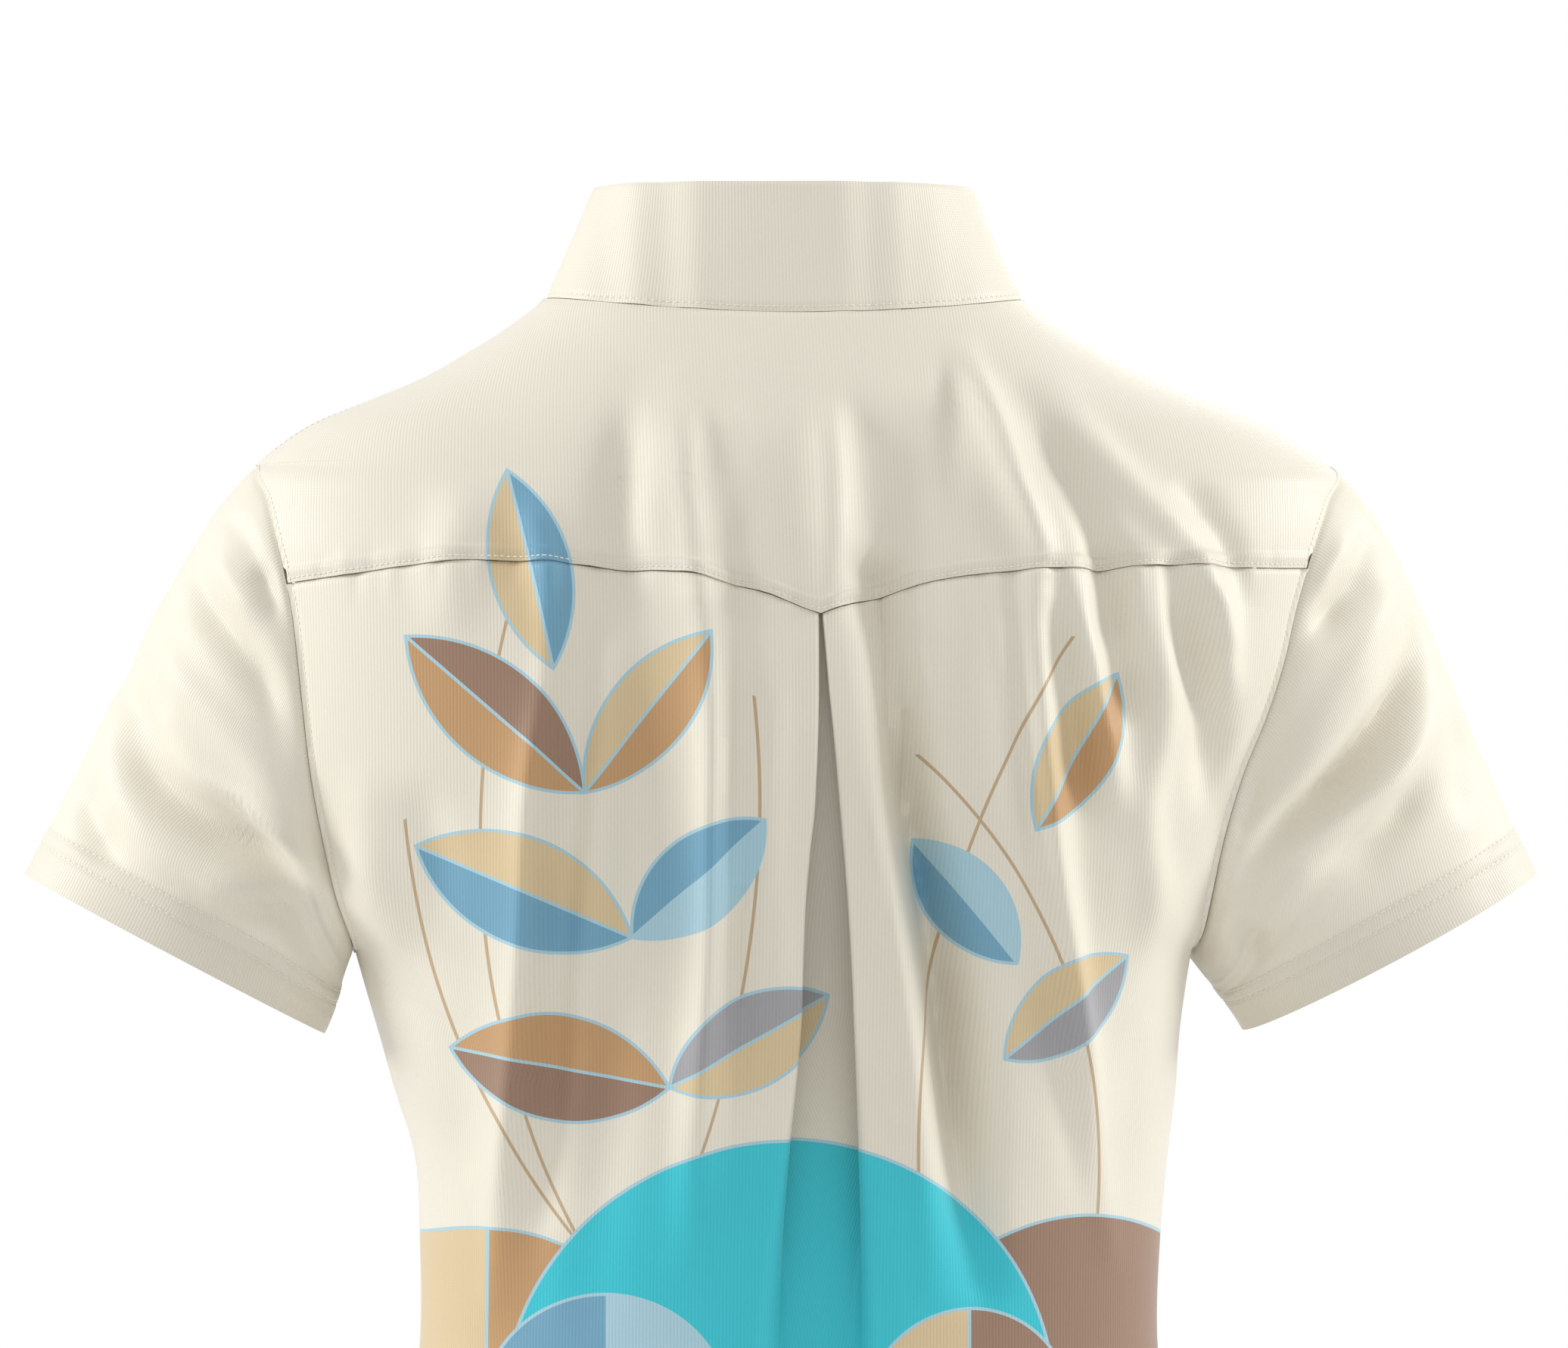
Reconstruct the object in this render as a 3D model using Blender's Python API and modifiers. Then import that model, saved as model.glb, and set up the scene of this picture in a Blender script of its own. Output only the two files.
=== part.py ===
"""A women's short-sleeved golf shirt, worn and filled out, with nobody in it.

The shirt is eleven sewn pieces: a stand collar, a yoke that wraps over the shoulders, a back
with an inverted box pleat, a front with a short opening, two sleeves, the opening's two bands
and three buttons. Each cloth piece is an open surface with a wall added inwards.

Sizes in the tables are millimetres. The front of the shirt faces -Y and the wearer's left is
+X. The origin is the middle of the neck, at the height of the neck seam, where a wearer's
neck holds the shirt up.
"""
import math
from collections import namedtuple

import bpy
import numpy as np
from mathutils import Matrix, Vector

MM = 0.001
PART_NAME = "golf_shirt"

# Cloth and seams.
WALL = 1.2
COLLAR_WALL = 2.0
SEAM_GAP = 0.3
SHOULDER_GAP = 0.4
EDGE_FADE = 16.0

# The armhole is a squarish oval seen from the side, between the shoulder and the armpit.
ARMHOLE_TOP = -63.0
ARMHOLE_BOTTOM = -247.0
ARMHOLE_MIDDLE = (ARMHOLE_TOP + ARMHOLE_BOTTOM) / 2
ARMHOLE_HALF = (ARMHOLE_TOP - ARMHOLE_BOTTOM) / 2
ARMHOLE_SQUARENESS = 2.6
ARMHOLE_BACK_REACH = 61.0
ARMHOLE_FRONT_REACH = 54.0
ARMHOLE_FRONT_NARROWING = 6.0

# How far the yoke runs forward over the shoulder ridge.
YOKE_FORWARD = 12.0
YOKE_FORWARD_RUN = 40.0
HEM_LEVEL = -640.0
NECK_LEVEL = 1.5

# Half-width of the shirt where the front meets the back: shoulder, armhole, then side seam.
Edge = namedtuple("Edge", "level left right")
EDGES = (
    Edge(-640, 174, 174),
    Edge(-600, 173, 173),
    Edge(-560, 169, 169),
    Edge(-500, 159, 159),
    Edge(-440, 147, 147),
    Edge(-395, 141, 142),
    Edge(-360, 141, 143),
    Edge(-325, 143, 146),
    Edge(-299, 151, 149),
    Edge(-281, 156, 150),
    Edge(-264, 161, 152),
    Edge(-247, 166, 155),
    Edge(-226, 174, 157),
    Edge(-206, 179, 160),
    Edge(-180, 184, 167),
    Edge(-155, 187, 177),
    Edge(-136, 189, 183),
    Edge(-119, 191, 187),
    Edge(-103, 194, 192),
    Edge(-90, 197, 197),
    Edge(-76, 200, 203),
    Edge(-63, 203, 209),
    Edge(-55, 194, 198),
    Edge(-46, 180, 182),
    Edge(-38, 161, 162),
    Edge(-29, 140, 140),
    Edge(-20, 124, 122),
    Edge(-11, 109.5, 106.5),
    Edge(-3, 98.6, 95.4),
    Edge(1.5, 93.0, 90.4),
)

# Rings round the body. A ring's level is its height at the sides; it dips by sag at its middle.
Ring = namedtuple("Ring", "level depth sag roundness")
BACK_RINGS = (
    Ring(-640, 112, 0, 2.2),
    Ring(-600, 111, 0, 2.2),
    Ring(-520, 102, 0, 2.2),
    Ring(-450, 88, 0, 2.2),
    Ring(-395, 80, 0, 2.2),
    Ring(-360, 83, 0, 2.2),
    Ring(-300, 92, 0, 2.25),
    Ring(-247, 100, 0, 2.3),
    Ring(-200, 106, 0, 2.35),
    Ring(-150, 108, 0, 2.4),
    Ring(-103, 103, 0, 2.4),
    Ring(-63, 90, 4, 2.35),
    Ring(-40, 79, 5, 2.3),
    Ring(-20, 68, 6, 2.2),
    Ring(1.5, 55, 7, 2.2),
)
FRONT_RINGS = (
    Ring(-640, 111, 0, 2.2),
    Ring(-600, 110, 0, 2.2),
    Ring(-520, 103, 0, 2.2),
    Ring(-450, 95, 0, 2.2),
    Ring(-395, 90, 0, 2.2),
    Ring(-360, 93, 0, 2.2),
    Ring(-300, 105, 0, 2.15),
    Ring(-247, 118, 0, 2.1),
    Ring(-200, 122, 4, 2.1),
    Ring(-150, 116, 20, 2.1),
    Ring(-103, 106, 46, 2.15),
    Ring(-63, 95, 64, 2.2),
    Ring(-40, 88, 70, 2.2),
    Ring(-20, 80, 74, 2.15),
    Ring(1.5, 70, 76, 2.1),
)

# The yoke's lower seam, from its point on the pleat line out to the armhole.
PLEAT_LINE = -2.5
YokeSeam = namedtuple("YokeSeam", "share left right")
YOKE_SEAM = (
    YokeSeam(0.0, -120, -120),
    YokeSeam(0.12, -110.5, -112),
    YokeSeam(0.25, -104.5, -106),
    YokeSeam(0.375, -101.5, -103.6),
    YokeSeam(0.5, -100.3, -102.3),
    YokeSeam(0.625, -100, -101.2),
    YokeSeam(0.75, -101.8, -101),
    YokeSeam(0.875, -105, -102),
    YokeSeam(1.0, -108, -102),
)

# The inverted box pleat. Its two fold edges part below the yoke, and further down the folds
# soften into an open valley.
Pleat = namedtuple("Pleat", "level left_edge right_edge tuck room softness valley")
PLEAT = (
    Pleat(-640, 10, -18, 13, 3.0, 1.0, 7),
    Pleat(-520, 9, -18, 13, 3.0, 1.0, 8),
    Pleat(-420, 7, -17, 14, 3.0, 0.85, 9),
    Pleat(-325, 5.8, -14.5, 15, 3.6, 0.3, 9),
    Pleat(-270, 5.3, -13.7, 16, 3.6, 0.0, 9),
    Pleat(-229, 4.4, -11.1, 16, 3.2, 0.0, 9),
    Pleat(-190, 1.8, -7.5, 16, 2.2, 0.0, 9),
    Pleat(-155, 0.7, -4.2, 16, 1.4, 0.0, 9),
    Pleat(-120, 0.5, -0.9, 16, 0.8, 0.0, 9),
)
PLEAT_ZONE = 38.0
PLEAT_HEAD = -118.0
YOKE_MIDDLE_STEPS = (0.0, 16.5, PLEAT_ZONE)
FOLD_GAP = 0.6
FOLD_SPREAD = 4.0
FOLD_ANGLES = (50, 90, 130, 180)
# The hidden fold behind each flap swells past the tuck by this share of its room.
HIDDEN_FOLD_SWELL = 0.87
# Where the open valley starts and how long it takes, as shares of the way to its middle.
VALLEY_START = 0.12
VALLEY_RUN = 0.76

# Folds: a path on the cloth, its width, and its height (a trough is negative). start and end
# say how much of the fold is left at its first and last point.
Fold = namedtuple("Fold", "path width height start end")
FOLD_TAPER = 0.35
BACK_FOLDS = (
    # On the yoke, running down into the back.
    Fold(((76, -28), (72, -60), (76, -95), (84, -130), (90, -200), (96, -260), (100, -340)),
         12, -5.0, 0.0, 0.3),
    Fold(((58, -30), (54, -62), (54, -92)), 9, 2.2, 0.0, 0.3),
    Fold(((-6, -36), (-7, -70), (-6, -100)), 9, 1.6, 0.0, 0.3),
    Fold(((-17, -30), (-22, -62), (-26, -98)), 8, -3.0, 0.0, 0.8),
    Fold(((-54, -14), (-55, -45), (-53, -84)), 6, -2.2, 0.0, 0.3),
    Fold(((-63, -14), (-67, -43), (-76, -72), (-86, -94)), 6, 2.4, 0.2, 0.6),
    Fold(((-80, -40), (-106, -66), (-138, -97)), 9, 2.0, 0.0, 0.3),
    Fold(((-92, -52), (-122, -78), (-155, -102)), 8, -2.4, 0.0, 0.3),
    Fold(((123, -66), (138, -94), (142, -120)), 10, 1.6, 0.0, 0.0),
    # On the left half of the back.
    Fold(((98, -112), (104, -170), (108, -222), (107, -270), (111, -322), (120, -400)),
         11, 5.0, 0.0, 0.0),
    Fold(((66, -108), (60, -150), (60, -200), (56, -250), (58, -320)), 13, -5.5, 0.3, 0.0),
    Fold(((47, -104), (38, -154), (36, -200), (37, -241), (38, -290), (42, -380)),
         9, 5.5, 0.2, 0.0),
    Fold(((150, -178), (138, -210), (134, -240)), 9, -3.0, 0.0, 0.0),
    Fold(((172, -196), (158, -226), (146, -262)), 8, 2.2, 0.0, 0.0),
    # On the right half of the back.
    Fold(((-23, -118), (-32, -168), (-44, -212), (-50, -241), (-58, -320), (-66, -400)),
         9, -7.0, 0.4, 0.0),
    Fold(((-62, -130), (-66, -190), (-72, -260), (-80, -340)), 12, 2.0, 0.0, 0.0),
    Fold(((-82, -108), (-85, -154), (-88, -183), (-92, -226), (-100, -270), (-117, -330)),
         8, 5.0, 0.2, 0.0),
    Fold(((-105, -104), (-110, -139), (-114, -168)), 6, -3.2, 0.4, 0.0),
    Fold(((-120, -104), (-122, -130), (-124, -150)), 5, 2.4, 0.3, 0.0),
    Fold(((-136, -104), (-146, -139), (-154, -156), (-152, -198)), 7, -5.0, 0.4, 0.0),
    Fold(((-154, -106), (-161, -139)), 5, 2.4, 0.3, 0.0),
    Fold(((-128, -210), (-137, -228), (-143, -250)), 8, 2.6, 0.0, 0.0),
    # Below the waist, where the cloth hangs over the hips.
    Fold(((120, -430), (128, -520), (134, -640)), 16, 5.0, 0.0, 1.0),
    Fold(((84, -400), (88, -520), (92, -640)), 16, -5.0, 0.0, 1.0),
    Fold(((44, -440), (48, -540), (50, -640)), 14, 4.5, 0.0, 1.0),
    Fold(((-54, -430), (-58, -540), (-60, -640)), 14, -4.0, 0.0, 1.0),
    Fold(((-94, -400), (-100, -520), (-106, -640)), 16, 5.5, 0.0, 1.0),
    Fold(((-132, -450), (-140, -540), (-146, -640)), 14, -4.0, 0.0, 1.0),
)
FRONT_FOLDS = (
    Fold(((78, -205), (70, -280), (74, -380), (80, -470)), 16, 4.5, 0.0, 0.0),
    Fold(((-72, -208), (-78, -290), (-74, -390), (-82, -480)), 15, 4.0, 0.0, 0.0),
    Fold(((44, -240), (38, -330), (42, -430)), 14, -4.5, 0.0, 0.0),
    Fold(((-38, -235), (-46, -320), (-42, -440)), 14, -4.0, 0.0, 0.0),
    Fold(((150, -190), (122, -212), (96, -222)), 9, -3.0, 0.0, 0.0),
    Fold(((-140, -196), (-116, -214), (-94, -228)), 9, -2.6, 0.0, 0.0),
    Fold(((118, -250), (112, -330), (120, -430), (128, -640)), 14, -4.5, 0.0, 0.8),
    Fold(((-116, -256), (-112, -350), (-124, -460), (-130, -640)), 14, -4.0, 0.0, 0.8),
    Fold(((96, -430), (100, -540), (104, -640)), 15, 5.0, 0.0, 1.0),
    Fold(((12, -420), (10, -530), (14, -640)), 17, 4.5, 0.0, 1.0),
    Fold(((-52, -440), (-56, -540), (-54, -640)), 15, -4.5, 0.0, 1.0),
    Fold(((56, -440), (54, -540), (58, -640)), 14, -4.0, 0.0, 1.0),
    Fold(((-92, -450), (-96, -540), (-98, -640)), 14, 4.5, 0.0, 1.0),
)

# Sleeve folds: the path is (share of the way to the hem, degrees round from the shoulder over
# the back); past 180 degrees lies the front.
LEFT_SLEEVE_FOLDS = (
    Fold(((0.55, -8), (0.60, 29), (0.62, 58), (0.52, 88), (0.30, 122)), 8, -6.0, 0.2, 0.3),
    Fold(((0.45, 10), (0.47, 50), (0.36, 84), (0.14, 122)), 8, 3.5, 0.2, 0.2),
    Fold(((0.78, 20), (0.76, 60), (0.66, 92), (0.46, 128)), 9, 2.5, 0.0, 0.0),
    Fold(((0.27, 6), (0.30, 43), (0.22, 72), (0.15, 96)), 6, -3.0, 0.3, 0.0),
    Fold(((0.16, 14), (0.10, 49), (0.06, 74)), 5, -1.8, 0.0, 0.0),
    Fold(((0.76, 8), (0.84, 41), (0.85, 74)), 7, -1.6, 0.2, 0.0),
    Fold(((0.70, 96), (0.50, 122), (0.30, 152)), 8, -3.5, 0.0, 0.0),
    Fold(((0.36, 352), (0.44, 318), (0.40, 276), (0.30, 240)), 9, -4.5, 0.2, 0.0),
    Fold(((0.62, 340), (0.68, 300), (0.56, 262), (0.44, 236)), 9, -3.0, 0.0, 0.0),
    Fold(((0.18, 330), (0.20, 296), (0.16, 262)), 7, -2.4, 0.0, 0.0),
)
RIGHT_SLEEVE_FOLDS = (
    Fold(((0.40, 16), (0.49, 50), (0.46, 77), (0.36, 104), (0.26, 124)), 7, -6.0, 0.0, 0.4),
    Fold(((0.56, 20), (0.58, 50), (0.56, 80), (0.34, 128)), 9, 3.2, 0.0, 0.0),
    Fold(((0.30, 14), (0.31, 50), (0.27, 80), (0.16, 108)), 7, 2.6, 0.0, 0.0),
    Fold(((0.19, 20), (0.16, 50), (0.13, 76)), 6, -2.6, 0.0, 0.0),
    Fold(((0.36, 92), (0.27, 112), (0.18, 130)), 5, -2.6, 0.0, 0.0),
    Fold(((0.62, 56), (0.68, 76), (0.64, 100)), 7, -1.8, 0.0, 0.0),
    Fold(((0.64, 18), (0.82, 33), (0.96, 50)), 9, -1.5, 0.0, 0.6),
    Fold(((0.34, 146), (0.60, 132)), 8, -3.0, 0.0, 0.0),
    Fold(((0.34, 350), (0.42, 312), (0.36, 272), (0.28, 238)), 9, -4.2, 0.2, 0.0),
    Fold(((0.60, 344), (0.66, 306), (0.58, 264), (0.40, 232)), 10, -3.2, 0.0, 0.0),
    Fold(((0.16, 334), (0.19, 300), (0.17, 268)), 7, -2.2, 0.0, 0.0),
)

# The sleeve hem is an oval hanging from its outer tip to its inner end under the arm.
SLEEVE_TIP = (291.0, -218.5)
SLEEVE_INNER = (177.5, -279.0)
SLEEVE_HEM_HALF_DEPTH = 45.0
SLEEVE_HEM_FORWARD = 8.0
SLEEVE_CLEARANCE = 0.45
# The way the sleeve leaves the armhole, out and up, on top and under the arm, and how far.
SLEEVE_TOP_WAY = (0.77, -0.64)
SLEEVE_UNDER_WAY = (0.42, -0.90)
SLEEVE_TOP_PUSH = 0.6
SLEEVE_UNDER_PUSH = 0.9
SLEEVE_SWELL = 0.25
SLEEVE_FOLD_FADE = 0.12

# The collar stands up and leans in to its own smaller top ring.
Collar = namedtuple("Collar", "half_width lean back front height front_height")
COLLAR_TOP = Collar(73.2, 1.8, 47.0, 60.0, 44.4, -37.0)
COLLAR_HOLLOW = 0.6
COLLAR_OPENING_FOOT = 1.5
COLLAR_OPENING_TOP = 7.0

# The front opening: a notch in the front, filled by two bands that overlap.
OPENING_HALF_WIDTH = 15.0
BAND_STEP = 1.6
BAND_TUCK = 3.0
BAND_HEAD = 2.0
BUTTON_DIAMETER = 11.0
BUTTON_HEIGHT = 2.2
BUTTON_ROUNDING = 0.5
BUTTON_STEPS = (14.0, 74.0, 134.0)
BUTTON_SIDES = 24
BUTTON_LINE_SAMPLES = 200

# Grid counts.
SHOULDER_STEPS = 6
YOKE_ARMHOLE_STEPS = 3
BACK_ARMHOLE_STEPS = 10
FRONT_ARMHOLE_STEPS = 13
BODY_STEPS = 13
SIDE_COLUMNS = 14
EDGE_CROWDING = 0.5
SLEEVE_STEPS = 12
COLLAR_STEPS = 4
COLLAR_BACK_STEPS = 30
COLLAR_FRONT_STEPS = 15
OPENING_STEPS = 14
BAND_COLUMNS = 4
RING_SAMPLES = 72

# Rows that still follow the yoke's seam, and how rows spread out as they go down.
SEAM_ROWS = 6
YOKE_ROW_POWER = 1.2
SHOULDER_WIDENING = -0.25
BODY_WIDENING = 0.3
PLEAT_WIDENING = 0.1
FRONT_WIDENING = 0.45
SLEEVE_WIDENING = 0.15

CLOTH_COLOUR = (0.87, 0.83, 0.74, 1.0)
BUTTON_COLOUR = (0.80, 0.76, 0.66, 1.0)
CLOTH_ROUGHNESS = 0.62
BUTTON_ROUGHNESS = 0.3


def column(table, name):
    """One named column of a table, as numbers."""
    return np.array([getattr(row, name) for row in table], dtype=float)


def through(keys, values, at):
    """A smooth curve through the rows of a table: cubic pieces with the rows' mean slopes."""
    slopes = np.gradient(values, keys)
    at = np.clip(at, keys[0], keys[-1])
    piece = np.clip(np.searchsorted(keys, at, side="right") - 1, 0, len(keys) - 2)
    span = keys[piece + 1] - keys[piece]
    t = (at - keys[piece]) / span
    start = values[piece] * (1 + 2 * t) * (1 - t) ** 2 + slopes[piece] * span * t * (1 - t) ** 2
    end = values[piece + 1] * t ** 2 * (3 - 2 * t) - slopes[piece + 1] * span * t ** 2 * (1 - t)
    return start + end


def read(table, key, name, at):
    """The value of one column of a table at given keys."""
    return through(column(table, key), column(table, name), at)


def ease(t):
    """Rises smoothly from 0 to 1 as t does."""
    t = np.clip(t, 0.0, 1.0)
    return t * t * (3 - 2 * t)


def widening(steps, more):
    """Shares that run from 0 to 1 as the steps do, with gaps that widen on the way."""
    return (1 - more) * steps + more * steps ** 2


def half_width(level, side):
    """Half-width where the front meets the back, on the left (side > 0) or on the right."""
    left = read(EDGES, "level", "left", level)
    right = read(EDGES, "level", "right", level)
    return np.where(np.asarray(side) > 0, left, right)


def armhole_swing(level):
    """How far the armhole's oval stands out at a level: 0 at its two ends, 1 midway."""
    up = np.clip(np.abs(level - ARMHOLE_MIDDLE) / ARMHOLE_HALF, 0, 1)
    return (1 - up ** ARMHOLE_SQUARENESS) ** (1 / ARMHOLE_SQUARENESS)


def armhole_level(angle):
    """The height on the armhole at an angle in degrees from the shoulder."""
    up = np.cos(np.radians(angle))
    return ARMHOLE_MIDDLE + ARMHOLE_HALF * np.sign(up) * np.abs(up) ** (2 / ARMHOLE_SQUARENESS)


def armhole_angle(level):
    """The angle on the armhole, in degrees from the shoulder, at a height above its middle."""
    up = (level - ARMHOLE_MIDDLE) / ARMHOLE_HALF
    return np.degrees(np.arccos(up ** (ARMHOLE_SQUARENESS / 2)))


def edge_of(level, side, back):
    """The edge of a body panel at a level: its distance out from the middle, and back."""
    swing = armhole_swing(level)
    out = half_width(level, side)
    if back:
        return out, ARMHOLE_BACK_REACH * swing
    return out - ARMHOLE_FRONT_NARROWING * swing, ARMHOLE_FRONT_REACH * swing


def ring(level, side, back):
    """Each ring as a run of points from the middle to its edge, with the distance along it."""
    level = np.asarray(level, dtype=float)[..., None]
    side = np.asarray(side, dtype=float)[..., None]
    table = BACK_RINGS if back else FRONT_RINGS
    depth = read(table, "level", "depth", level)
    sag = read(table, "level", "sag", level)
    power = read(table, "level", "roundness", level)
    out, across = edge_of(level, side, back)
    full = out / (1 - (across / depth) ** power) ** (1 / power)
    last = np.arcsin(np.clip((out / full) ** (power / 2), 0, 1))
    turn = last * np.linspace(0, 1, RING_SAMPLES)
    x = full * np.sin(turn) ** (2 / power)
    y = depth * np.clip(np.cos(turn), 0, 1) ** (2 / power)
    z = level - sag * (1 - (x / out) ** 2)
    points = np.stack([x * np.sign(side), y if back else -y, z], axis=-1)
    steps = np.linalg.norm(np.diff(points, axis=-2), axis=-1)
    along = np.concatenate([np.zeros(steps.shape[:-1] + (1,)), np.cumsum(steps, axis=-1)], -1)
    return points, along


def reach_to_edge(level, side, back):
    """Distance along a ring from its middle to its edge."""
    return ring(level, side, back)[1][..., -1]


def on_ring(reach, level, side, back):
    """Points at a distance along their rings from the middle."""
    points, along = ring(level, side, back)
    reach = np.clip(np.abs(reach), 0, along[..., -1])
    place = np.empty(reach.shape + (3,))
    for index in np.ndindex(reach.shape):
        for axis in range(3):
            place[index + (axis,)] = np.interp(reach[index], along[index], points[index][:, axis])
    return place


def on_body(reach, level, back):
    """Points on the body. A reach past the shoulder ridge carries on down the other side."""
    reach, level = np.broadcast_arrays(np.asarray(reach, float), np.asarray(level, float))
    side = np.where(reach < 0, -1.0, 1.0)
    full = reach_to_edge(level, side, back)
    over = np.clip(np.abs(reach) - full, 0, None)
    near = on_ring(reach, level, side, back)
    far = on_ring(reach_to_edge(level, side, not back) - over, level, side, not back)
    return np.where((over > 0)[..., None], far, near)


def outward(reach, level, back):
    """The way out of the cloth at points on the body."""
    step = 1.0
    across = on_body(reach + step, level, back) - on_body(reach - step, level, back)
    along = on_body(reach, level + step, back) - on_body(reach, level - step, back)
    normal = np.cross(across, along)
    normal *= np.sign(normal[..., 1:2]) * (1 if back else -1)
    return normal / np.linalg.norm(normal, axis=-1, keepdims=True)


def fold_height(points, path, fold):
    """How far a fold lifts points that are given in the same measure as its path."""
    path = np.asarray(path, dtype=float)
    nearest = np.full(points.shape[:-1], np.inf)
    share = np.zeros(points.shape[:-1])
    lengths = np.linalg.norm(np.diff(path, axis=0), axis=1)
    total = lengths.sum()
    done = 0.0
    for start, end, length in zip(path[:-1], path[1:], lengths):
        t = np.clip(((points - start) @ (end - start)) / length ** 2, 0, 1)
        away = np.linalg.norm(points - (start + t[..., None] * (end - start)), axis=-1)
        closer = away < nearest
        nearest = np.where(closer, away, nearest)
        share = np.where(closer, (done + t * length) / total, share)
        done += length
    rise = fold.start + (1 - fold.start) * ease(share / FOLD_TAPER)
    fall = fold.end + (1 - fold.end) * ease((1 - share) / FOLD_TAPER)
    return fold.height * rise * fall * np.exp(-(nearest / fold.width) ** 2)


def body_folds(points, folds):
    """Total height of the folds at points of the body, found by their place from behind."""
    flat = points[..., [0, 2]]
    return sum(fold_height(flat, fold.path, fold) for fold in folds)


def dressed(reach, level, back, extra_depth=0.0):
    """Points on the cloth of the body, with its folds, which die out at every edge."""
    points = on_body(reach, level, back)
    side = np.where(reach < 0, -1.0, 1.0)
    to_edge = np.abs(reach_to_edge(level, side, back) - np.abs(reach))
    fade = ease(to_edge / EDGE_FADE) * ease((NECK_LEVEL - level) / EDGE_FADE)
    height = body_folds(points, BACK_FOLDS if back else FRONT_FOLDS) * fade
    return points + outward(reach, level, back) * (height - extra_depth)[..., None]


def add_material(piece, colour, roughness):
    """A plain material of its own for a piece."""
    material = bpy.data.materials.new(piece.name)
    material.use_nodes = True
    shader = material.node_tree.nodes["Principled BSDF"]
    shader.inputs["Base Color"].default_value = colour
    shader.inputs["Roughness"].default_value = roughness
    shader.inputs["Metallic"].default_value = 0.0
    piece.data.materials.append(material)


def add_cloth(name, grid, wall, closed=False, gaps=()):
    """A cloth piece: a grid of points on its outer face, with its wall added inwards.

    Rows run down the grid and columns from the wearer's left to the right, so its faces look
    outwards. closed joins the last column to the first. gaps lists (row, column) to leave out.
    """
    rows, columns = grid.shape[:2]
    faces = []
    for row in range(rows - 1):
        for start in range(columns if closed else columns - 1):
            if (row, start) in gaps:
                continue
            end = (start + 1) % columns
            top, foot = row * columns, (row + 1) * columns
            faces.append((top + start, foot + start, foot + end, top + end))
    mesh = bpy.data.meshes.new(name)
    mesh.from_pydata((grid.reshape(-1, 3) * MM).tolist(), [], faces)
    piece = bpy.data.objects.new(name, mesh)
    shirt.objects.link(piece)
    mesh.shade_smooth()
    thickness = piece.modifiers.new("wall", "SOLIDIFY")
    thickness.thickness = wall * MM
    thickness.offset = -1.0
    add_material(piece, CLOTH_COLOUR, CLOTH_ROUGHNESS)
    return piece


def side_shares():
    """Shares of the way from the pleat zone to the edge, closer together at the edge."""
    steps = np.arange(1, SIDE_COLUMNS + 1) / SIDE_COLUMNS
    return (1 - EDGE_CROWDING) * steps + EDGE_CROWDING * np.sin(steps * math.pi / 2)


def armhole_steps(side):
    """Angles on the armhole where the yoke's rows and then the back's rows end."""
    seam = armhole_angle(read(YOKE_SEAM, "share", "left" if side > 0 else "right", 1.0))
    yoke = np.linspace(0, seam, YOKE_ARMHOLE_STEPS + 1)
    back = np.linspace(seam, 180, BACK_ARMHOLE_STEPS + 1)
    return yoke, back


def shoulder_levels():
    """Heights of the rows along the shoulder seam, from the neck to the armhole."""
    steps = np.linspace(0, 1, SHOULDER_STEPS + 1)
    return NECK_LEVEL + (ARMHOLE_TOP - NECK_LEVEL) * widening(steps, SHOULDER_WIDENING)


def body_levels():
    """Heights of the rows below the armpit, at the side."""
    steps = np.linspace(0, 1, BODY_STEPS + 1)
    return ARMHOLE_BOTTOM + (HEM_LEVEL - ARMHOLE_BOTTOM) * widening(steps, BODY_WIDENING)


def yoke_forward(level):
    """How far the yoke passes over the shoulder ridge at a level; nothing at the armhole."""
    return YOKE_FORWARD * np.clip((level - ARMHOLE_TOP) / YOKE_FORWARD_RUN, 0, 1)


def pleat_columns(level, side):
    """The pleat on one side, from its flap to its middle: (distance from its line, depth)."""
    left_edge = read(PLEAT, "level", "left_edge", level)
    right_edge = read(PLEAT, "level", "right_edge", level)
    edge = abs(left_edge if side > 0 else right_edge)
    middle = side * (left_edge + right_edge) / 2
    tuck = edge + read(PLEAT, "level", "tuck", level)
    room = read(PLEAT, "level", "room", level)
    soft = np.clip(read(PLEAT, "level", "softness", level), 0, 1)
    fold = WALL + FOLD_GAP / 2 + FOLD_SPREAD * soft
    layer = 2 * fold
    bed = layer + 2 * room
    bulge = tuck + room * HIDDEN_FOLD_SWELL
    folded = [(PLEAT_ZONE, 0), (bulge, 0), (tuck, 0), (edge + fold, 0)]
    for angle in FOLD_ANGLES:
        turn = math.radians(angle)
        folded.append((edge + fold - fold * math.sin(turn), fold - fold * math.cos(turn)))
    folded += [(tuck, layer), (bulge, layer + room * 0.5), (bulge, layer + room * 1.5)]
    folded += [(tuck, bed), (middle, bed)]
    steps = np.linspace(0, 1, len(folded))
    across = PLEAT_ZONE + (middle - PLEAT_ZONE) * steps
    dip = read(PLEAT, "level", "valley", level) * ease((steps - VALLEY_START) / VALLEY_RUN)
    opened = np.stack([across, dip], axis=-1)
    return np.array(folded) * (1 - soft) + opened * soft


def seam_level(share, side):
    """Height of the yoke's lower seam at a share of the way from its point to the armhole."""
    return read(YOKE_SEAM, "share", "left" if side > 0 else "right", share)


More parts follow.
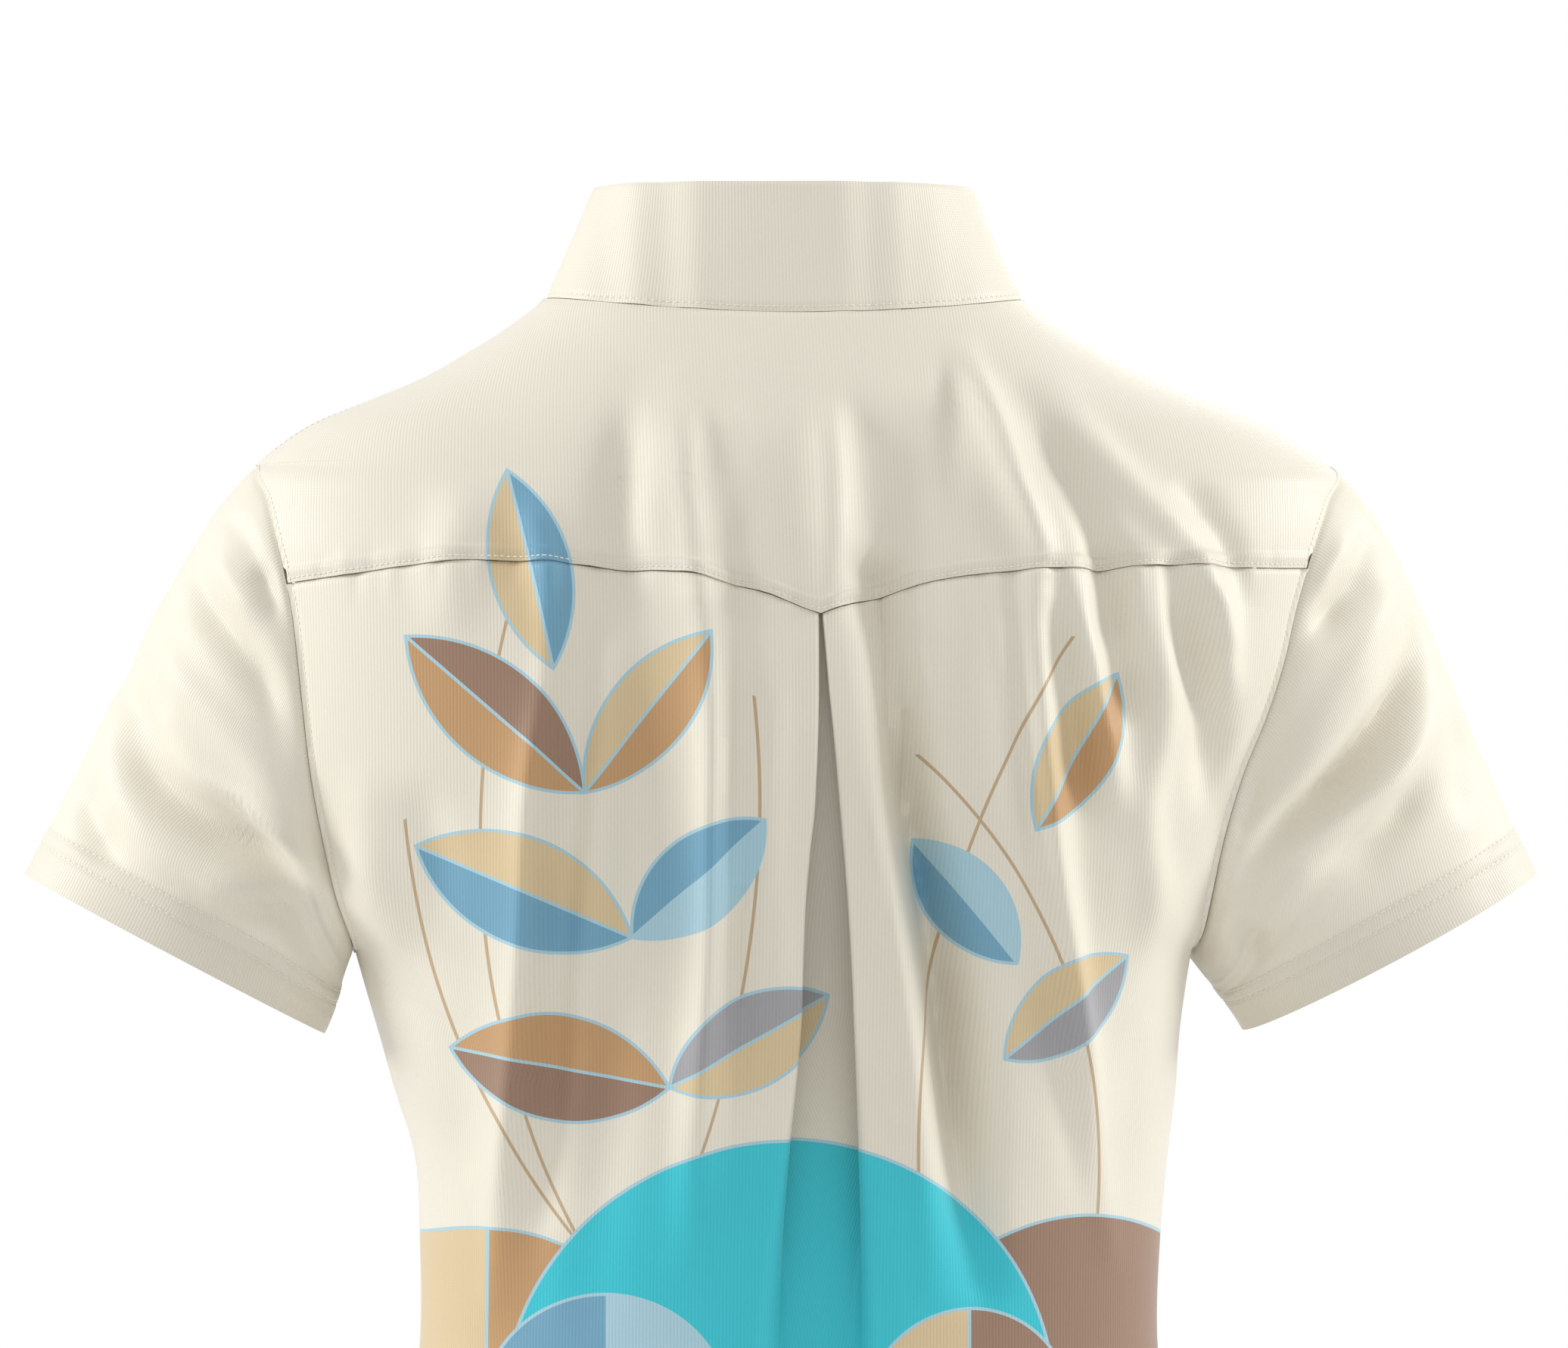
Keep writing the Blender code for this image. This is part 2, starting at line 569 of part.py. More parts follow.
def make_yoke():
    """The yoke: from the neck and shoulder seams, over the ridge, to its pointed lower seam."""
    rows = []
    upper = shoulder_levels()
    count = SHOULDER_STEPS + YOKE_ARMHOLE_STEPS
    for row in range(count + 1):
        points = []
        for side in (1, -1):
            angles, _ = armhole_steps(side)
            edge = upper[row] if row <= SHOULDER_STEPS else armhole_level(
                angles[row - SHOULDER_STEPS])
            half = []
            full = reach_to_edge(edge, side, True) + yoke_forward(edge)
            start = PLEAT_ZONE + side * PLEAT_LINE
            reaches = [side * PLEAT_LINE + step for step in YOKE_MIDDLE_STEPS]
            reaches += [start + (full - SEAM_GAP / 2 - start) * share for share in side_shares()]
            for reach in reaches:
                share = np.clip((reach - side * PLEAT_LINE) / (full - side * PLEAT_LINE), 0, 1)
                down = (row / count) ** YOKE_ROW_POWER
                centre = NECK_LEVEL + (seam_level(share, side) + SEAM_GAP / 2 - NECK_LEVEL) * down
                level = centre + (edge - centre) * ease(share)
                if row == count:
                    level = seam_level(share, side) + SEAM_GAP / 2
                half.append((side * reach, level))
            points.append(half)
        rows.append(points[0][::-1] + points[1][1:])
    grid = np.array(rows)
    return add_cloth("yoke", dressed(grid[..., 0], grid[..., 1], True), WALL)


def make_back():
    """The back: below the yoke, with the box pleat in its middle."""
    below = body_levels()[1:]
    count = BACK_ARMHOLE_STEPS + BODY_STEPS
    rows, depths = [], []
    for row in range(count + 1):
        halves = []
        for side in (1, -1):
            _, angles = armhole_steps(side)
            edge = armhole_level(angles[row]) if row <= BACK_ARMHOLE_STEPS else below[
                row - BACK_ARMHOLE_STEPS - 1]
            plain = PLEAT_HEAD + (HEM_LEVEL - PLEAT_HEAD) * widening(row / count, PLEAT_WIDENING)
            full = reach_to_edge(edge, side, True) - SEAM_GAP / 2
            pleat = pleat_columns(plain, side)
            start = PLEAT_ZONE + side * PLEAT_LINE
            half = [(start + (full - start) * share, 0.0) for share in side_shares()[::-1]]
            half += [(side * PLEAT_LINE + reach, depth) for reach, depth in pleat]
            line = []
            for reach, depth in half:
                share = np.clip((reach - side * PLEAT_LINE) / (full - side * PLEAT_LINE), 0, 1)
                fade = 1 - ease(row / SEAM_ROWS)
                level = plain + (edge - plain) * ease(share)
                top = PLEAT_HEAD + (armhole_level(angles[0]) - PLEAT_HEAD) * ease(share)
                level += (seam_level(share, side) - SEAM_GAP / 2 - top) * fade
                line.append((side * reach, level, depth))
            halves.append(line)
        rows.append(halves[0] + halves[1][::-1][1:])
    grid = np.array(rows)
    points = dressed(grid[..., 0], grid[..., 1], True, grid[..., 2])
    return add_cloth("back", points, WALL)


def front_levels():
    """Heights at the side of the front's rows: shoulder seam, armhole, then side seam."""
    angles = np.linspace(0, 180, FRONT_ARMHOLE_STEPS + 1)[1:]
    return np.concatenate([shoulder_levels(), armhole_level(angles), body_levels()[1:]])


def front_reach(edge, side):
    """Distance from the middle of the front to its edge, in a row with this edge height."""
    return reach_to_edge(edge, side, False) - yoke_forward(edge) - SHOULDER_GAP


def front_row_level(row, reach, side):
    """Height of a row of the front at a distance from its middle."""
    edges = front_levels()
    down = row / (len(edges) - 1)
    middle = NECK_LEVEL + (HEM_LEVEL - NECK_LEVEL) * widening(down, FRONT_WIDENING)
    share = reach / front_reach(edges[row], side)
    return middle + (edges[row] - middle) * ease(share)


def make_front():
    """The front: from the shoulder seams to the hem, with a notch for the opening."""
    shares = side_shares()
    rows = []
    for row, edge in enumerate(front_levels()):
        halves = []
        for side in (1, -1):
            full = front_reach(edge, side)
            reaches = [0.0, OPENING_HALF_WIDTH]
            reaches += [OPENING_HALF_WIDTH + (full - OPENING_HALF_WIDTH) * s for s in shares]
            halves.append([(side * r, front_row_level(row, r, side)) for r in reaches])
        rows.append(halves[0][::-1] + halves[1][1:])
    # Seen from the front, the wearer's left lies on the right, so the rows are turned round.
    grid = np.array(rows)[:, ::-1]
    middle = grid.shape[1] // 2
    gaps = {(row, middle + way) for row in range(OPENING_STEPS) for way in (-1, 0)}
    return add_cloth("front", dressed(grid[..., 0], grid[..., 1], False), WALL, gaps=gaps)


def make_band(name, inner, outer, depth, head, foot):
    """A band of the opening, between two reaches, lying a depth under the front's face."""
    rows = []
    for row in range(OPENING_STEPS + 1):
        shift = {0: -head, OPENING_STEPS: foot}.get(row, 0.0)
        rows.append([(reach, front_row_level(row, abs(reach), math.copysign(1, reach)) + shift)
                     for reach in np.linspace(inner, outer, BAND_COLUMNS + 1)])
    grid = np.array(rows)
    points = dressed(grid[..., 0], grid[..., 1], False, depth)
    return add_cloth(name, points, WALL)


def armhole_loop(side):
    """The armhole all round: its points and their angles, over the back and up the front."""
    yoke, back = armhole_steps(side)
    front = np.linspace(180, 360, FRONT_ARMHOLE_STEPS + 1)[1:-1]
    angles = np.concatenate([yoke, back[1:], front])
    level = armhole_level(angles)
    points = []
    for angle, height in zip(angles, level):
        out, across = edge_of(height, side, angle <= 180)
        points.append((side * (out + SLEEVE_CLEARANCE), across if angle <= 180 else -across,
                       height))
    return np.array(points), angles


def sleeve_base(side, share, loop, angles):
    """The sleeve without folds: rows from the armhole to the hem."""
    turn = np.radians(angles)
    tip = np.array([side * SLEEVE_TIP[0], -SLEEVE_HEM_FORWARD, SLEEVE_TIP[1]])
    inner = np.array([side * SLEEVE_INNER[0], -SLEEVE_HEM_FORWARD, SLEEVE_INNER[1]])
    centre = (tip + inner) / 2
    hem = centre + np.cos(turn)[:, None] * (tip - centre)
    hem[:, 1] += SLEEVE_HEM_HALF_DEPTH * np.sin(turn)
    across = centre - tip
    down = side * np.array([-across[2], 0, across[0]]) / np.linalg.norm(across)
    chord = np.linalg.norm(hem - loop, axis=1)[:, None]
    top = np.array([side * SLEEVE_TOP_WAY[0], 0, SLEEVE_TOP_WAY[1]])
    under = np.array([side * SLEEVE_UNDER_WAY[0], 0, SLEEVE_UNDER_WAY[1]])
    weight = ((1 + np.cos(turn)) / 2)[:, None]
    leave = top * weight + under * (1 - weight)
    leave = leave + np.array([0, SLEEVE_SWELL, 0]) * np.sin(turn)[:, None]
    leave = leave * chord * (SLEEVE_TOP_PUSH * weight + SLEEVE_UNDER_PUSH * (1 - weight))
    arrive = down * chord
    t = share[:, None, None]
    points = loop * (1 + 2 * t) * (1 - t) ** 2 + leave * t * (1 - t) ** 2
    return points + hem * t ** 2 * (3 - 2 * t) - arrive * t ** 2 * (1 - t)


def grid_normals(points, inside):
    """Unit vectors out of a closed grid of rings, away from the middle of each ring."""
    around = np.roll(points, -1, axis=1) - np.roll(points, 1, axis=1)
    along = np.gradient(points, axis=0)
    normal = np.cross(around, along)
    flip = np.sign((normal * (points - inside)).sum(axis=-1, keepdims=True))
    return normal * flip / np.linalg.norm(normal, axis=-1, keepdims=True)


def make_sleeve(name, side, folds):
    """A set-in sleeve: from the armhole's own points to its slanting hem."""
    loop, angles = armhole_loop(side)
    share = widening(np.linspace(0, 1, SLEEVE_STEPS + 1), SLEEVE_WIDENING)
    points = sleeve_base(side, share, loop, angles)
    inside = points.mean(axis=1, keepdims=True)
    normal = grid_normals(points, inside)
    height = np.zeros(points.shape[:2])
    for fold in folds:
        path = [sleeve_place(side, along, angle) for along, angle in fold.path]
        height += fold_height(points, path, fold)
    height *= ease(share / SLEEVE_FOLD_FADE)[:, None]
    points = points + normal * height[..., None]
    if side < 0:
        points = points[:, ::-1]
    return add_cloth(name, points, WALL, closed=True)


def sleeve_place(side, along, angle):
    """A point of the plain sleeve, by its share of the way down and its angle round."""
    angle = angle % 360
    height = armhole_level(angle)
    out, across = edge_of(height, side, angle <= 180)
    loop = np.array([[side * out, across if angle <= 180 else -across, height]])
    return sleeve_base(side, np.array([along]), loop, np.array([angle]))[0, 0]


def neck_loop():
    """The neck seam from the opening's right end, round the back, to its left end."""
    back_reach = reach_to_edge(NECK_LEVEL, np.array([-1, 1]), True)
    front_reach = reach_to_edge(NECK_LEVEL, np.array([-1, 1]), False)
    right = np.linspace(COLLAR_OPENING_FOOT, front_reach[0], COLLAR_FRONT_STEPS + 1)[:-1]
    left = np.linspace(front_reach[1], COLLAR_OPENING_FOOT, COLLAR_FRONT_STEPS + 1)[1:]
    round_back = np.linspace(-back_reach[0], back_reach[1], COLLAR_BACK_STEPS + 1)
    return np.concatenate([
        on_body(-right, NECK_LEVEL, False),
        on_body(round_back, NECK_LEVEL, True),
        on_body(left, NECK_LEVEL, False),
    ])


def collar_rim():
    """The collar's top edge, with a point for each point of the neck seam."""
    parting = math.asin(COLLAR_OPENING_TOP / COLLAR_TOP.half_width)
    front = np.linspace(parting, math.pi / 2, COLLAR_FRONT_STEPS + 1)[:-1]
    back = np.linspace(-math.pi / 2, math.pi / 2, COLLAR_BACK_STEPS + 1)
    turns = np.concatenate([-front, back, front[::-1]])
    at_back = np.zeros(len(turns), dtype=bool)
    at_back[COLLAR_FRONT_STEPS:-COLLAR_FRONT_STEPS] = True
    x = COLLAR_TOP.lean + COLLAR_TOP.half_width * np.sin(turns)
    y = np.where(at_back, COLLAR_TOP.back, -COLLAR_TOP.front) * np.cos(turns)
    drop = COLLAR_TOP.height - COLLAR_TOP.front_height
    z = COLLAR_TOP.height - np.where(at_back, 0.0, drop) * np.cos(turns) ** 2
    return np.stack([x, y, z], axis=-1)


def make_collar():
    """The stand collar: from the neck seam up to its own smaller ring, parted at the front."""
    rim = collar_rim()
    foot = neck_loop()
    foot = foot + (rim - foot) * SEAM_GAP / COLLAR_TOP.height
    outwards = foot * np.array([1, 1, 0])
    outwards = outwards / np.linalg.norm(outwards, axis=1, keepdims=True)
    rows = []
    for up in np.linspace(1, 0, COLLAR_STEPS + 1):
        hollow = COLLAR_HOLLOW * 4 * up * (1 - up)
        rows.append(foot + (rim - foot) * up - outwards * hollow)
    return add_cloth("collar", np.array(rows)[:, ::-1], COLLAR_WALL)


def make_button(name, step):
    """A button on the upper band, a given way below the neck seam."""
    foot = front_row_level(OPENING_STEPS, 0.0, 1)
    levels = np.linspace(NECK_LEVEL, foot, BUTTON_LINE_SAMPLES)
    line = on_body(np.zeros(BUTTON_LINE_SAMPLES), levels, False)
    down = np.concatenate([[0], np.cumsum(np.linalg.norm(np.diff(line, axis=0), axis=1))])
    level = np.array([np.interp(step, down, levels)])
    seat = dressed(np.zeros(1), level, False)[0]
    way = outward(np.zeros(1), level, False)[0]
    bpy.ops.mesh.primitive_cylinder_add(
        vertices=BUTTON_SIDES, radius=BUTTON_DIAMETER / 2 * MM, depth=BUTTON_HEIGHT * MM)
    button = bpy.context.object
    button.name = name
    button.data.name = name
    middle = Vector(seat + way * (SEAM_GAP + BUTTON_HEIGHT / 2)) * MM
    turn = Vector((0, 0, 1)).rotation_difference(Vector(way)).to_matrix().to_4x4()
    button.matrix_world = Matrix.Translation(middle) @ turn
    for collection in button.users_collection:
        collection.objects.unlink(button)
    shirt.objects.link(button)
    rounding = button.modifiers.new("rounding", "BEVEL")
    rounding.width = BUTTON_ROUNDING * MM
    rounding.segments = 2
    add_material(button, BUTTON_COLOUR, BUTTON_ROUGHNESS)
    return button


for old in list(bpy.data.objects):
    bpy.data.objects.remove(old)
shirt = bpy.data.collections.new(PART_NAME)
bpy.context.scene.collection.children.link(shirt)

make_collar()
make_yoke()
make_back()
make_front()
make_sleeve("sleeve_left", 1, LEFT_SLEEVE_FOLDS)
make_sleeve("sleeve_right", -1, RIGHT_SLEEVE_FOLDS)
make_band("placket_upper", -OPENING_HALF_WIDTH + SEAM_GAP, OPENING_HALF_WIDTH - SEAM_GAP,
          0.0, 0.0, SEAM_GAP)
make_band("placket_under", -OPENING_HALF_WIDTH + SEAM_GAP, OPENING_HALF_WIDTH + BAND_TUCK,
          BAND_STEP, BAND_HEAD, SEAM_GAP)
for number, step in enumerate(BUTTON_STEPS, start=1):
    make_button(f"button_{number}", step)
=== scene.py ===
"""The looks of a women's short-sleeved golf shirt, worn and filled out, with nobody in it.

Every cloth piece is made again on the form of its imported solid, at a finer pitch: knitted ribs,
creases, puckers along the seams, folded hems and rows of stitches. Sizes in the tables are
millimetres. The front of the shirt faces -Y, the wearer's left is +X, and the origin is the
middle of the neck at the neck seam.
"""

import math
from collections import namedtuple

import bpy
import numpy as np
from bpy.props import FloatProperty, FloatVectorProperty, PointerProperty
from mathutils import Matrix, Vector


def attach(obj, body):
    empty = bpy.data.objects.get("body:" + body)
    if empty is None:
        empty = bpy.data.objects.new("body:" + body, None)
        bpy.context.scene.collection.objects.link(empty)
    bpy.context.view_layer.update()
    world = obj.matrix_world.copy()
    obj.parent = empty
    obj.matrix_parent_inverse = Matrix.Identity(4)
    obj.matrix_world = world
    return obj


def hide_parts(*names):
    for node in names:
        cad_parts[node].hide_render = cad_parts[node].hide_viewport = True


bl_info = {
    "name": "Golf Shirt",
    "version": (1, 0, 0),
    "blender": (4, 5, 0),
    "location": "3D View > Sidebar > Golf Shirt",
    "description": "Dresses the packed solids of a golf shirt in knitted cloth, print and stitches",
    "category": "Object",
}

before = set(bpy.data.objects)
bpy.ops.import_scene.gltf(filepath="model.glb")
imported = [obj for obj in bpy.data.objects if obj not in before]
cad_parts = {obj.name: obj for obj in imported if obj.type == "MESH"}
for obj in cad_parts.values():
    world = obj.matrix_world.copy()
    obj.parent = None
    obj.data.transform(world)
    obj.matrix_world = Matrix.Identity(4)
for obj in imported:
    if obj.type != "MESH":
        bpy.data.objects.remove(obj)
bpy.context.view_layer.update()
MM = 0.001


def table(kind, *rows):
    """A table of rows that are all of one kind, with named columns."""
    return tuple(kind(*row) for row in rows)


# Cloth and seams.
WALL = 1.2
COLLAR_WALL = 2.0
SEAM_GAP = 0.3
SHOULDER_GAP = 0.4
EDGE_FADE = 16.0

# The armhole is a squarish oval seen from the side, between the shoulder and the armpit.
ARMHOLE_TOP = -63.0
ARMHOLE_BOTTOM = -247.0
ARMHOLE_MIDDLE = (ARMHOLE_TOP + ARMHOLE_BOTTOM) / 2
ARMHOLE_HALF = (ARMHOLE_TOP - ARMHOLE_BOTTOM) / 2
ARMHOLE_SQUARENESS = 2.6
ARMHOLE_BACK_REACH = 61.0
ARMHOLE_FRONT_REACH = 54.0
ARMHOLE_FRONT_NARROWING = 6.0

# How far the yoke runs forward over the shoulder ridge.
YOKE_FORWARD = 12.0
YOKE_FORWARD_RUN = 40.0
HEM_LEVEL = -640.0
NECK_LEVEL = 1.5

# Half-width of the shirt where the front meets the back: shoulder, armhole, then side seam.
Edge = namedtuple("Edge", "level left right")
EDGES = table(
    Edge, (-640, 174, 174), (-600, 173, 173), (-560, 169, 169), (-500, 159, 159), (-440, 147, 147),
    (-395, 141, 142), (-360, 141, 143), (-325, 143, 146), (-299, 151, 149), (-281, 156, 150),
    (-264, 161, 152), (-247, 166, 155), (-226, 174, 157), (-206, 179, 160), (-180, 184, 167),
    (-155, 187, 177), (-136, 189, 183), (-119, 191, 187), (-103, 194, 192), (-90, 197, 197),
    (-76, 200, 203), (-63, 203, 209), (-55, 194, 198), (-46, 180, 182), (-38, 161, 162),
    (-29, 140, 140), (-20, 124, 122), (-11, 109.5, 106.5), (-3, 98.6, 95.4), (1.5, 93.0, 90.4),
)

# Rings round the body. A ring's level is its height at the sides; it dips by sag at its middle.
Ring = namedtuple("Ring", "level depth sag roundness")
BACK_RINGS = table(
    Ring, (-640, 112, 0, 2.2), (-600, 111, 0, 2.2), (-520, 102, 0, 2.2), (-450, 88, 0, 2.2),
    (-395, 80, 0, 2.2), (-360, 83, 0, 2.2), (-300, 92, 0, 2.25), (-247, 100, 0, 2.3),
    (-200, 106, 0, 2.35), (-150, 108, 0, 2.4), (-103, 103, 0, 2.4), (-63, 90, 4, 2.35),
    (-40, 79, 5, 2.3), (-20, 68, 6, 2.2), (1.5, 55, 7, 2.2),
)
FRONT_RINGS = table(
    Ring, (-640, 111, 0, 2.2), (-600, 110, 0, 2.2), (-520, 103, 0, 2.2), (-450, 95, 0, 2.2),
    (-395, 90, 0, 2.2), (-360, 93, 0, 2.2), (-300, 105, 0, 2.15), (-247, 118, 0, 2.1),
    (-200, 122, 4, 2.1), (-150, 116, 20, 2.1), (-103, 106, 46, 2.15), (-63, 95, 64, 2.2),
    (-40, 88, 70, 2.2), (-20, 80, 74, 2.15), (1.5, 70, 76, 2.1),
)

# The yoke's lower seam, from its point on the pleat line out to the armhole.
PLEAT_LINE = -2.5
YokeSeam = namedtuple("YokeSeam", "share left right")
YOKE_SEAM = table(
    YokeSeam, (0, -120, -120), (0.12, -110.5, -112), (0.25, -104.5, -106), (0.375, -101.5, -103.6),
    (0.5, -100.3, -102.3), (0.625, -100, -101.2), (0.75, -101.8, -101), (0.875, -105, -102),
    (1.0, -108, -102),
)

# The inverted box pleat. Its two fold edges part below the yoke, and further down the folds
# soften into an open valley.
Pleat = namedtuple("Pleat", "level left_edge right_edge tuck room softness valley")
PLEAT = table(
    Pleat,
    (-640, 10, -18, 13, 3.0, 1.0, 7),
    (-520, 9, -18, 13, 3.0, 1.0, 8),
    (-420, 7, -17, 14, 3.0, 0.85, 9),
    (-325, 5.8, -14.5, 15, 3.6, 0.3, 9),
    (-270, 5.3, -13.7, 16, 3.6, 0.0, 9),
    (-229, 4.4, -11.1, 16, 3.2, 0.0, 9),
    (-190, 1.8, -7.5, 16, 2.2, 0.0, 9),
    (-155, 0.7, -4.2, 16, 1.4, 0.0, 9),
    (-120, 0.5, -0.9, 16, 0.8, 0.0, 9),
)
PLEAT_ZONE = 38.0
PLEAT_DEEPENING = 1.9
PLEAT_HEAD = -118.0
FOLD_GAP = 0.6
FOLD_SPREAD = 4.0
FOLD_ANGLES = (50, 90, 130, 180)
# The stops across the pleat: its flap, the turn of its edge, the hidden layer, the hidden fold
# and the underlay.
PLEAT_STOPS = (0, 1, 2, 3, 7, 8, 11, 12)
PLEAT_TURNS = (3, 4, 5, 6, 7)
PLEAT_BACK_TURNS = (8, 11)
# The hidden fold behind each flap swells past the tuck by this share of its room.
HIDDEN_FOLD_SWELL = 0.87
# Where the open valley starts and how long it takes, as shares of the way to its middle.
VALLEY_START = 0.12
VALLEY_RUN = 0.76

# Folds: the points of a path on the cloth, two numbers for each, then its width and its height
# (a trough is negative). start and end say how much of the fold is left at its first and last
# point, and are nothing unless given. On the body a point is its x and z, seen from behind.
Fold = namedtuple("Fold", "path width height start end", defaults=(0, 0))
FOLD_TAPER = 0.35
FOLD_REACH = 3.2
PATH_FINENESS = 5
BACK_FOLDS = table(
    Fold,
    # On the yoke, running down into the back.
    ((76, -28, 72, -60, 76, -95, 84, -130, 90, -200, 96, -260, 100, -340), 12, -5, 0, 0.3),
    ((58, -30, 54, -62, 54, -92), 9, 2.2, 0, 0.3), ((-6, -36, -7, -70, -6, -100), 9, 1.6, 0, 0.3),
    ((-17, -30, -22, -62, -26, -98), 8, -3, 0, 0.8), ((-54, -14, -55, -45, -53, -84), 6, -2.2, 0, 0.3),
    ((-63, -14, -67, -43, -76, -72, -86, -94), 6, 2.4, 0.2, 0.6),
    ((-80, -40, -106, -66, -138, -97), 9, 2, 0, 0.3), ((-92, -52, -122, -78, -155, -102), 8, -2.4, 0, 0.3),
    ((123, -66, 138, -94, 142, -120), 10, 1.6),
    # On the left half of the back.
    ((98, -112, 104, -170, 108, -222, 107, -270, 111, -322, 120, -400), 11, 5),
    ((66, -108, 60, -150, 60, -200, 56, -250, 58, -320), 13, -5.5, 0.3),
    ((47, -104, 38, -154, 36, -200, 37, -241, 38, -290, 42, -380), 9, 5.5, 0.2),
    ((150, -178, 138, -210, 134, -240), 9, -3), ((172, -196, 158, -226, 146, -262), 8, 2.2),
    # On the right half of the back.
    ((-23, -118, -32, -168, -44, -212, -50, -241, -58, -320, -66, -400), 9, -7, 0.4),
    ((-62, -130, -66, -190, -72, -260, -80, -340), 12, 2),
    ((-82, -108, -85, -154, -88, -183, -92, -226, -100, -270, -117, -330), 8, 5, 0.2),
    ((-105, -104, -110, -139, -114, -168), 6, -3.2, 0.4),
    ((-120, -104, -122, -130, -124, -150), 5, 2.4, 0.3),
    ((-136, -104, -146, -139, -154, -156, -152, -198), 7, -5, 0.4), ((-154, -106, -161, -139), 5, 2.4, 0.3),
    ((-128, -210, -137, -228, -143, -250), 8, 2.6),
    # Below the waist, where the cloth hangs over the hips.
    ((120, -430, 128, -520, 134, -640), 16, 5, 0, 1), ((84, -400, 88, -520, 92, -640), 16, -5, 0, 1),
    ((44, -440, 48, -540, 50, -640), 14, 4.5, 0, 1), ((-54, -430, -58, -540, -60, -640), 14, -4, 0, 1),
    ((-94, -400, -100, -520, -106, -640), 16, 5.5, 0, 1),
    ((-132, -450, -140, -540, -146, -640), 14, -4, 0, 1),
)
FRONT_FOLDS = table(
    Fold,
    ((78, -205, 70, -280, 74, -380, 80, -470), 16, 4.5),
    ((-72, -208, -78, -290, -74, -390, -82, -480), 15, 4), ((44, -240, 38, -330, 42, -430), 14, -4.5),
    ((-38, -235, -46, -320, -42, -440), 14, -4), ((150, -190, 122, -212, 96, -222), 9, -3),
    ((-140, -196, -116, -214, -94, -228), 9, -2.6),
    ((118, -250, 112, -330, 120, -430, 128, -640), 14, -4.5, 0, 0.8),
    ((-116, -256, -112, -350, -124, -460, -130, -640), 14, -4, 0, 0.8),
    ((96, -430, 100, -540, 104, -640), 15, 5, 0, 1), ((12, -420, 10, -530, 14, -640), 17, 4.5, 0, 1),
    ((-52, -440, -56, -540, -54, -640), 15, -4.5, 0, 1), ((56, -440, 54, -540, 58, -640), 14, -4, 0, 1),
    ((-92, -450, -96, -540, -98, -640), 14, 4.5, 0, 1),
)

# Sleeve folds: a point is its share of the way to the hem, and its degrees round from the
# shoulder over the back; past 180 degrees lies the front.
LEFT_SLEEVE_FOLDS = table(
    Fold,
    ((0.55, -8, 0.60, 29, 0.62, 58, 0.52, 88, 0.30, 122), 8, -6, 0.2, 0.3),
    ((0.45, 10, 0.47, 50, 0.36, 84, 0.14, 122), 8, 3.5, 0.2, 0.2),
    ((0.78, 20, 0.76, 60, 0.66, 92, 0.46, 128), 9, 2.5),
    ((0.27, 6, 0.30, 43, 0.22, 72, 0.15, 96), 6, -3, 0.3), ((0.16, 14, 0.10, 49, 0.06, 74), 5, -1.8),
    ((0.76, 8, 0.84, 41, 0.85, 74), 7, -1.6, 0.2), ((0.70, 96, 0.50, 122, 0.30, 152), 8, -3.5),
    ((0.36, 352, 0.44, 318, 0.40, 276, 0.30, 240), 9, -4.5, 0.2),
    ((0.62, 340, 0.68, 300, 0.56, 262, 0.44, 236), 9, -3), ((0.18, 330, 0.20, 296, 0.16, 262), 7, -2.4),
)
RIGHT_SLEEVE_FOLDS = table(
    Fold,
    ((0.40, 16, 0.49, 50, 0.46, 77, 0.36, 104, 0.26, 124), 7, -6, 0, 0.4),
    ((0.56, 20, 0.58, 50, 0.56, 80, 0.34, 128), 9, 3.2),
    ((0.30, 14, 0.31, 50, 0.27, 80, 0.16, 108), 7, 2.6), ((0.19, 20, 0.16, 50, 0.13, 76), 6, -2.6),
    ((0.36, 92, 0.27, 112, 0.18, 130), 5, -2.6), ((0.62, 56, 0.68, 76, 0.64, 100), 7, -1.8),
    ((0.64, 18, 0.82, 33, 0.96, 50), 9, -1.5, 0, 0.6), ((0.34, 146, 0.60, 132), 8, -3),
    ((0.34, 350, 0.42, 312, 0.36, 272, 0.28, 238), 9, -4.2, 0.2),
    ((0.60, 344, 0.66, 306, 0.58, 264, 0.40, 232), 10, -3.2), ((0.16, 334, 0.19, 300, 0.17, 268), 7, -2.2),
)

# The sleeve hem is an oval hanging from its outer tip to its inner end under the arm.
SLEEVE_TIP = (291.0, -218.5)
SLEEVE_INNER = (177.5, -279.0)
SLEEVE_HEM_HALF_DEPTH = 45.0
SLEEVE_HEM_FORWARD = 8.0
SLEEVE_CLEARANCE = 0.45
# The way the sleeve leaves the armhole, out and up, on top and under the arm, and how far.
SLEEVE_TOP_WAY = (0.77, -0.64)
SLEEVE_UNDER_WAY = (0.42, -0.90)
SLEEVE_TOP_PUSH = 0.6
SLEEVE_UNDER_PUSH = 0.9
SLEEVE_SWELL = 0.25
SLEEVE_FOLD_FADE = 0.12

# The collar stands up and leans in to its own smaller top ring.
Collar = namedtuple("Collar", "half_width lean back front height front_height")
COLLAR_TOP = Collar(73.2, 1.8, 47.0, 60.0, 44.4, -37.0)
COLLAR_HOLLOW = 0.6
COLLAR_OPENING_FOOT = 1.5
COLLAR_OPENING_TOP = 7.0

# The front opening: a notch in the front, filled by two bands that overlap.
OPENING_HALF_WIDTH = 15.0
BAND_STEP = 1.6
BAND_TUCK = 3.0
BAND_HEAD = 2.0
BUTTON_DIAMETER = 11.0
BUTTON_HEIGHT = 2.2
BUTTON_ROUNDING = 0.5
BUTTON_STEPS = (14.0, 74.0, 134.0)
BUTTON_LINE_SAMPLES = 200

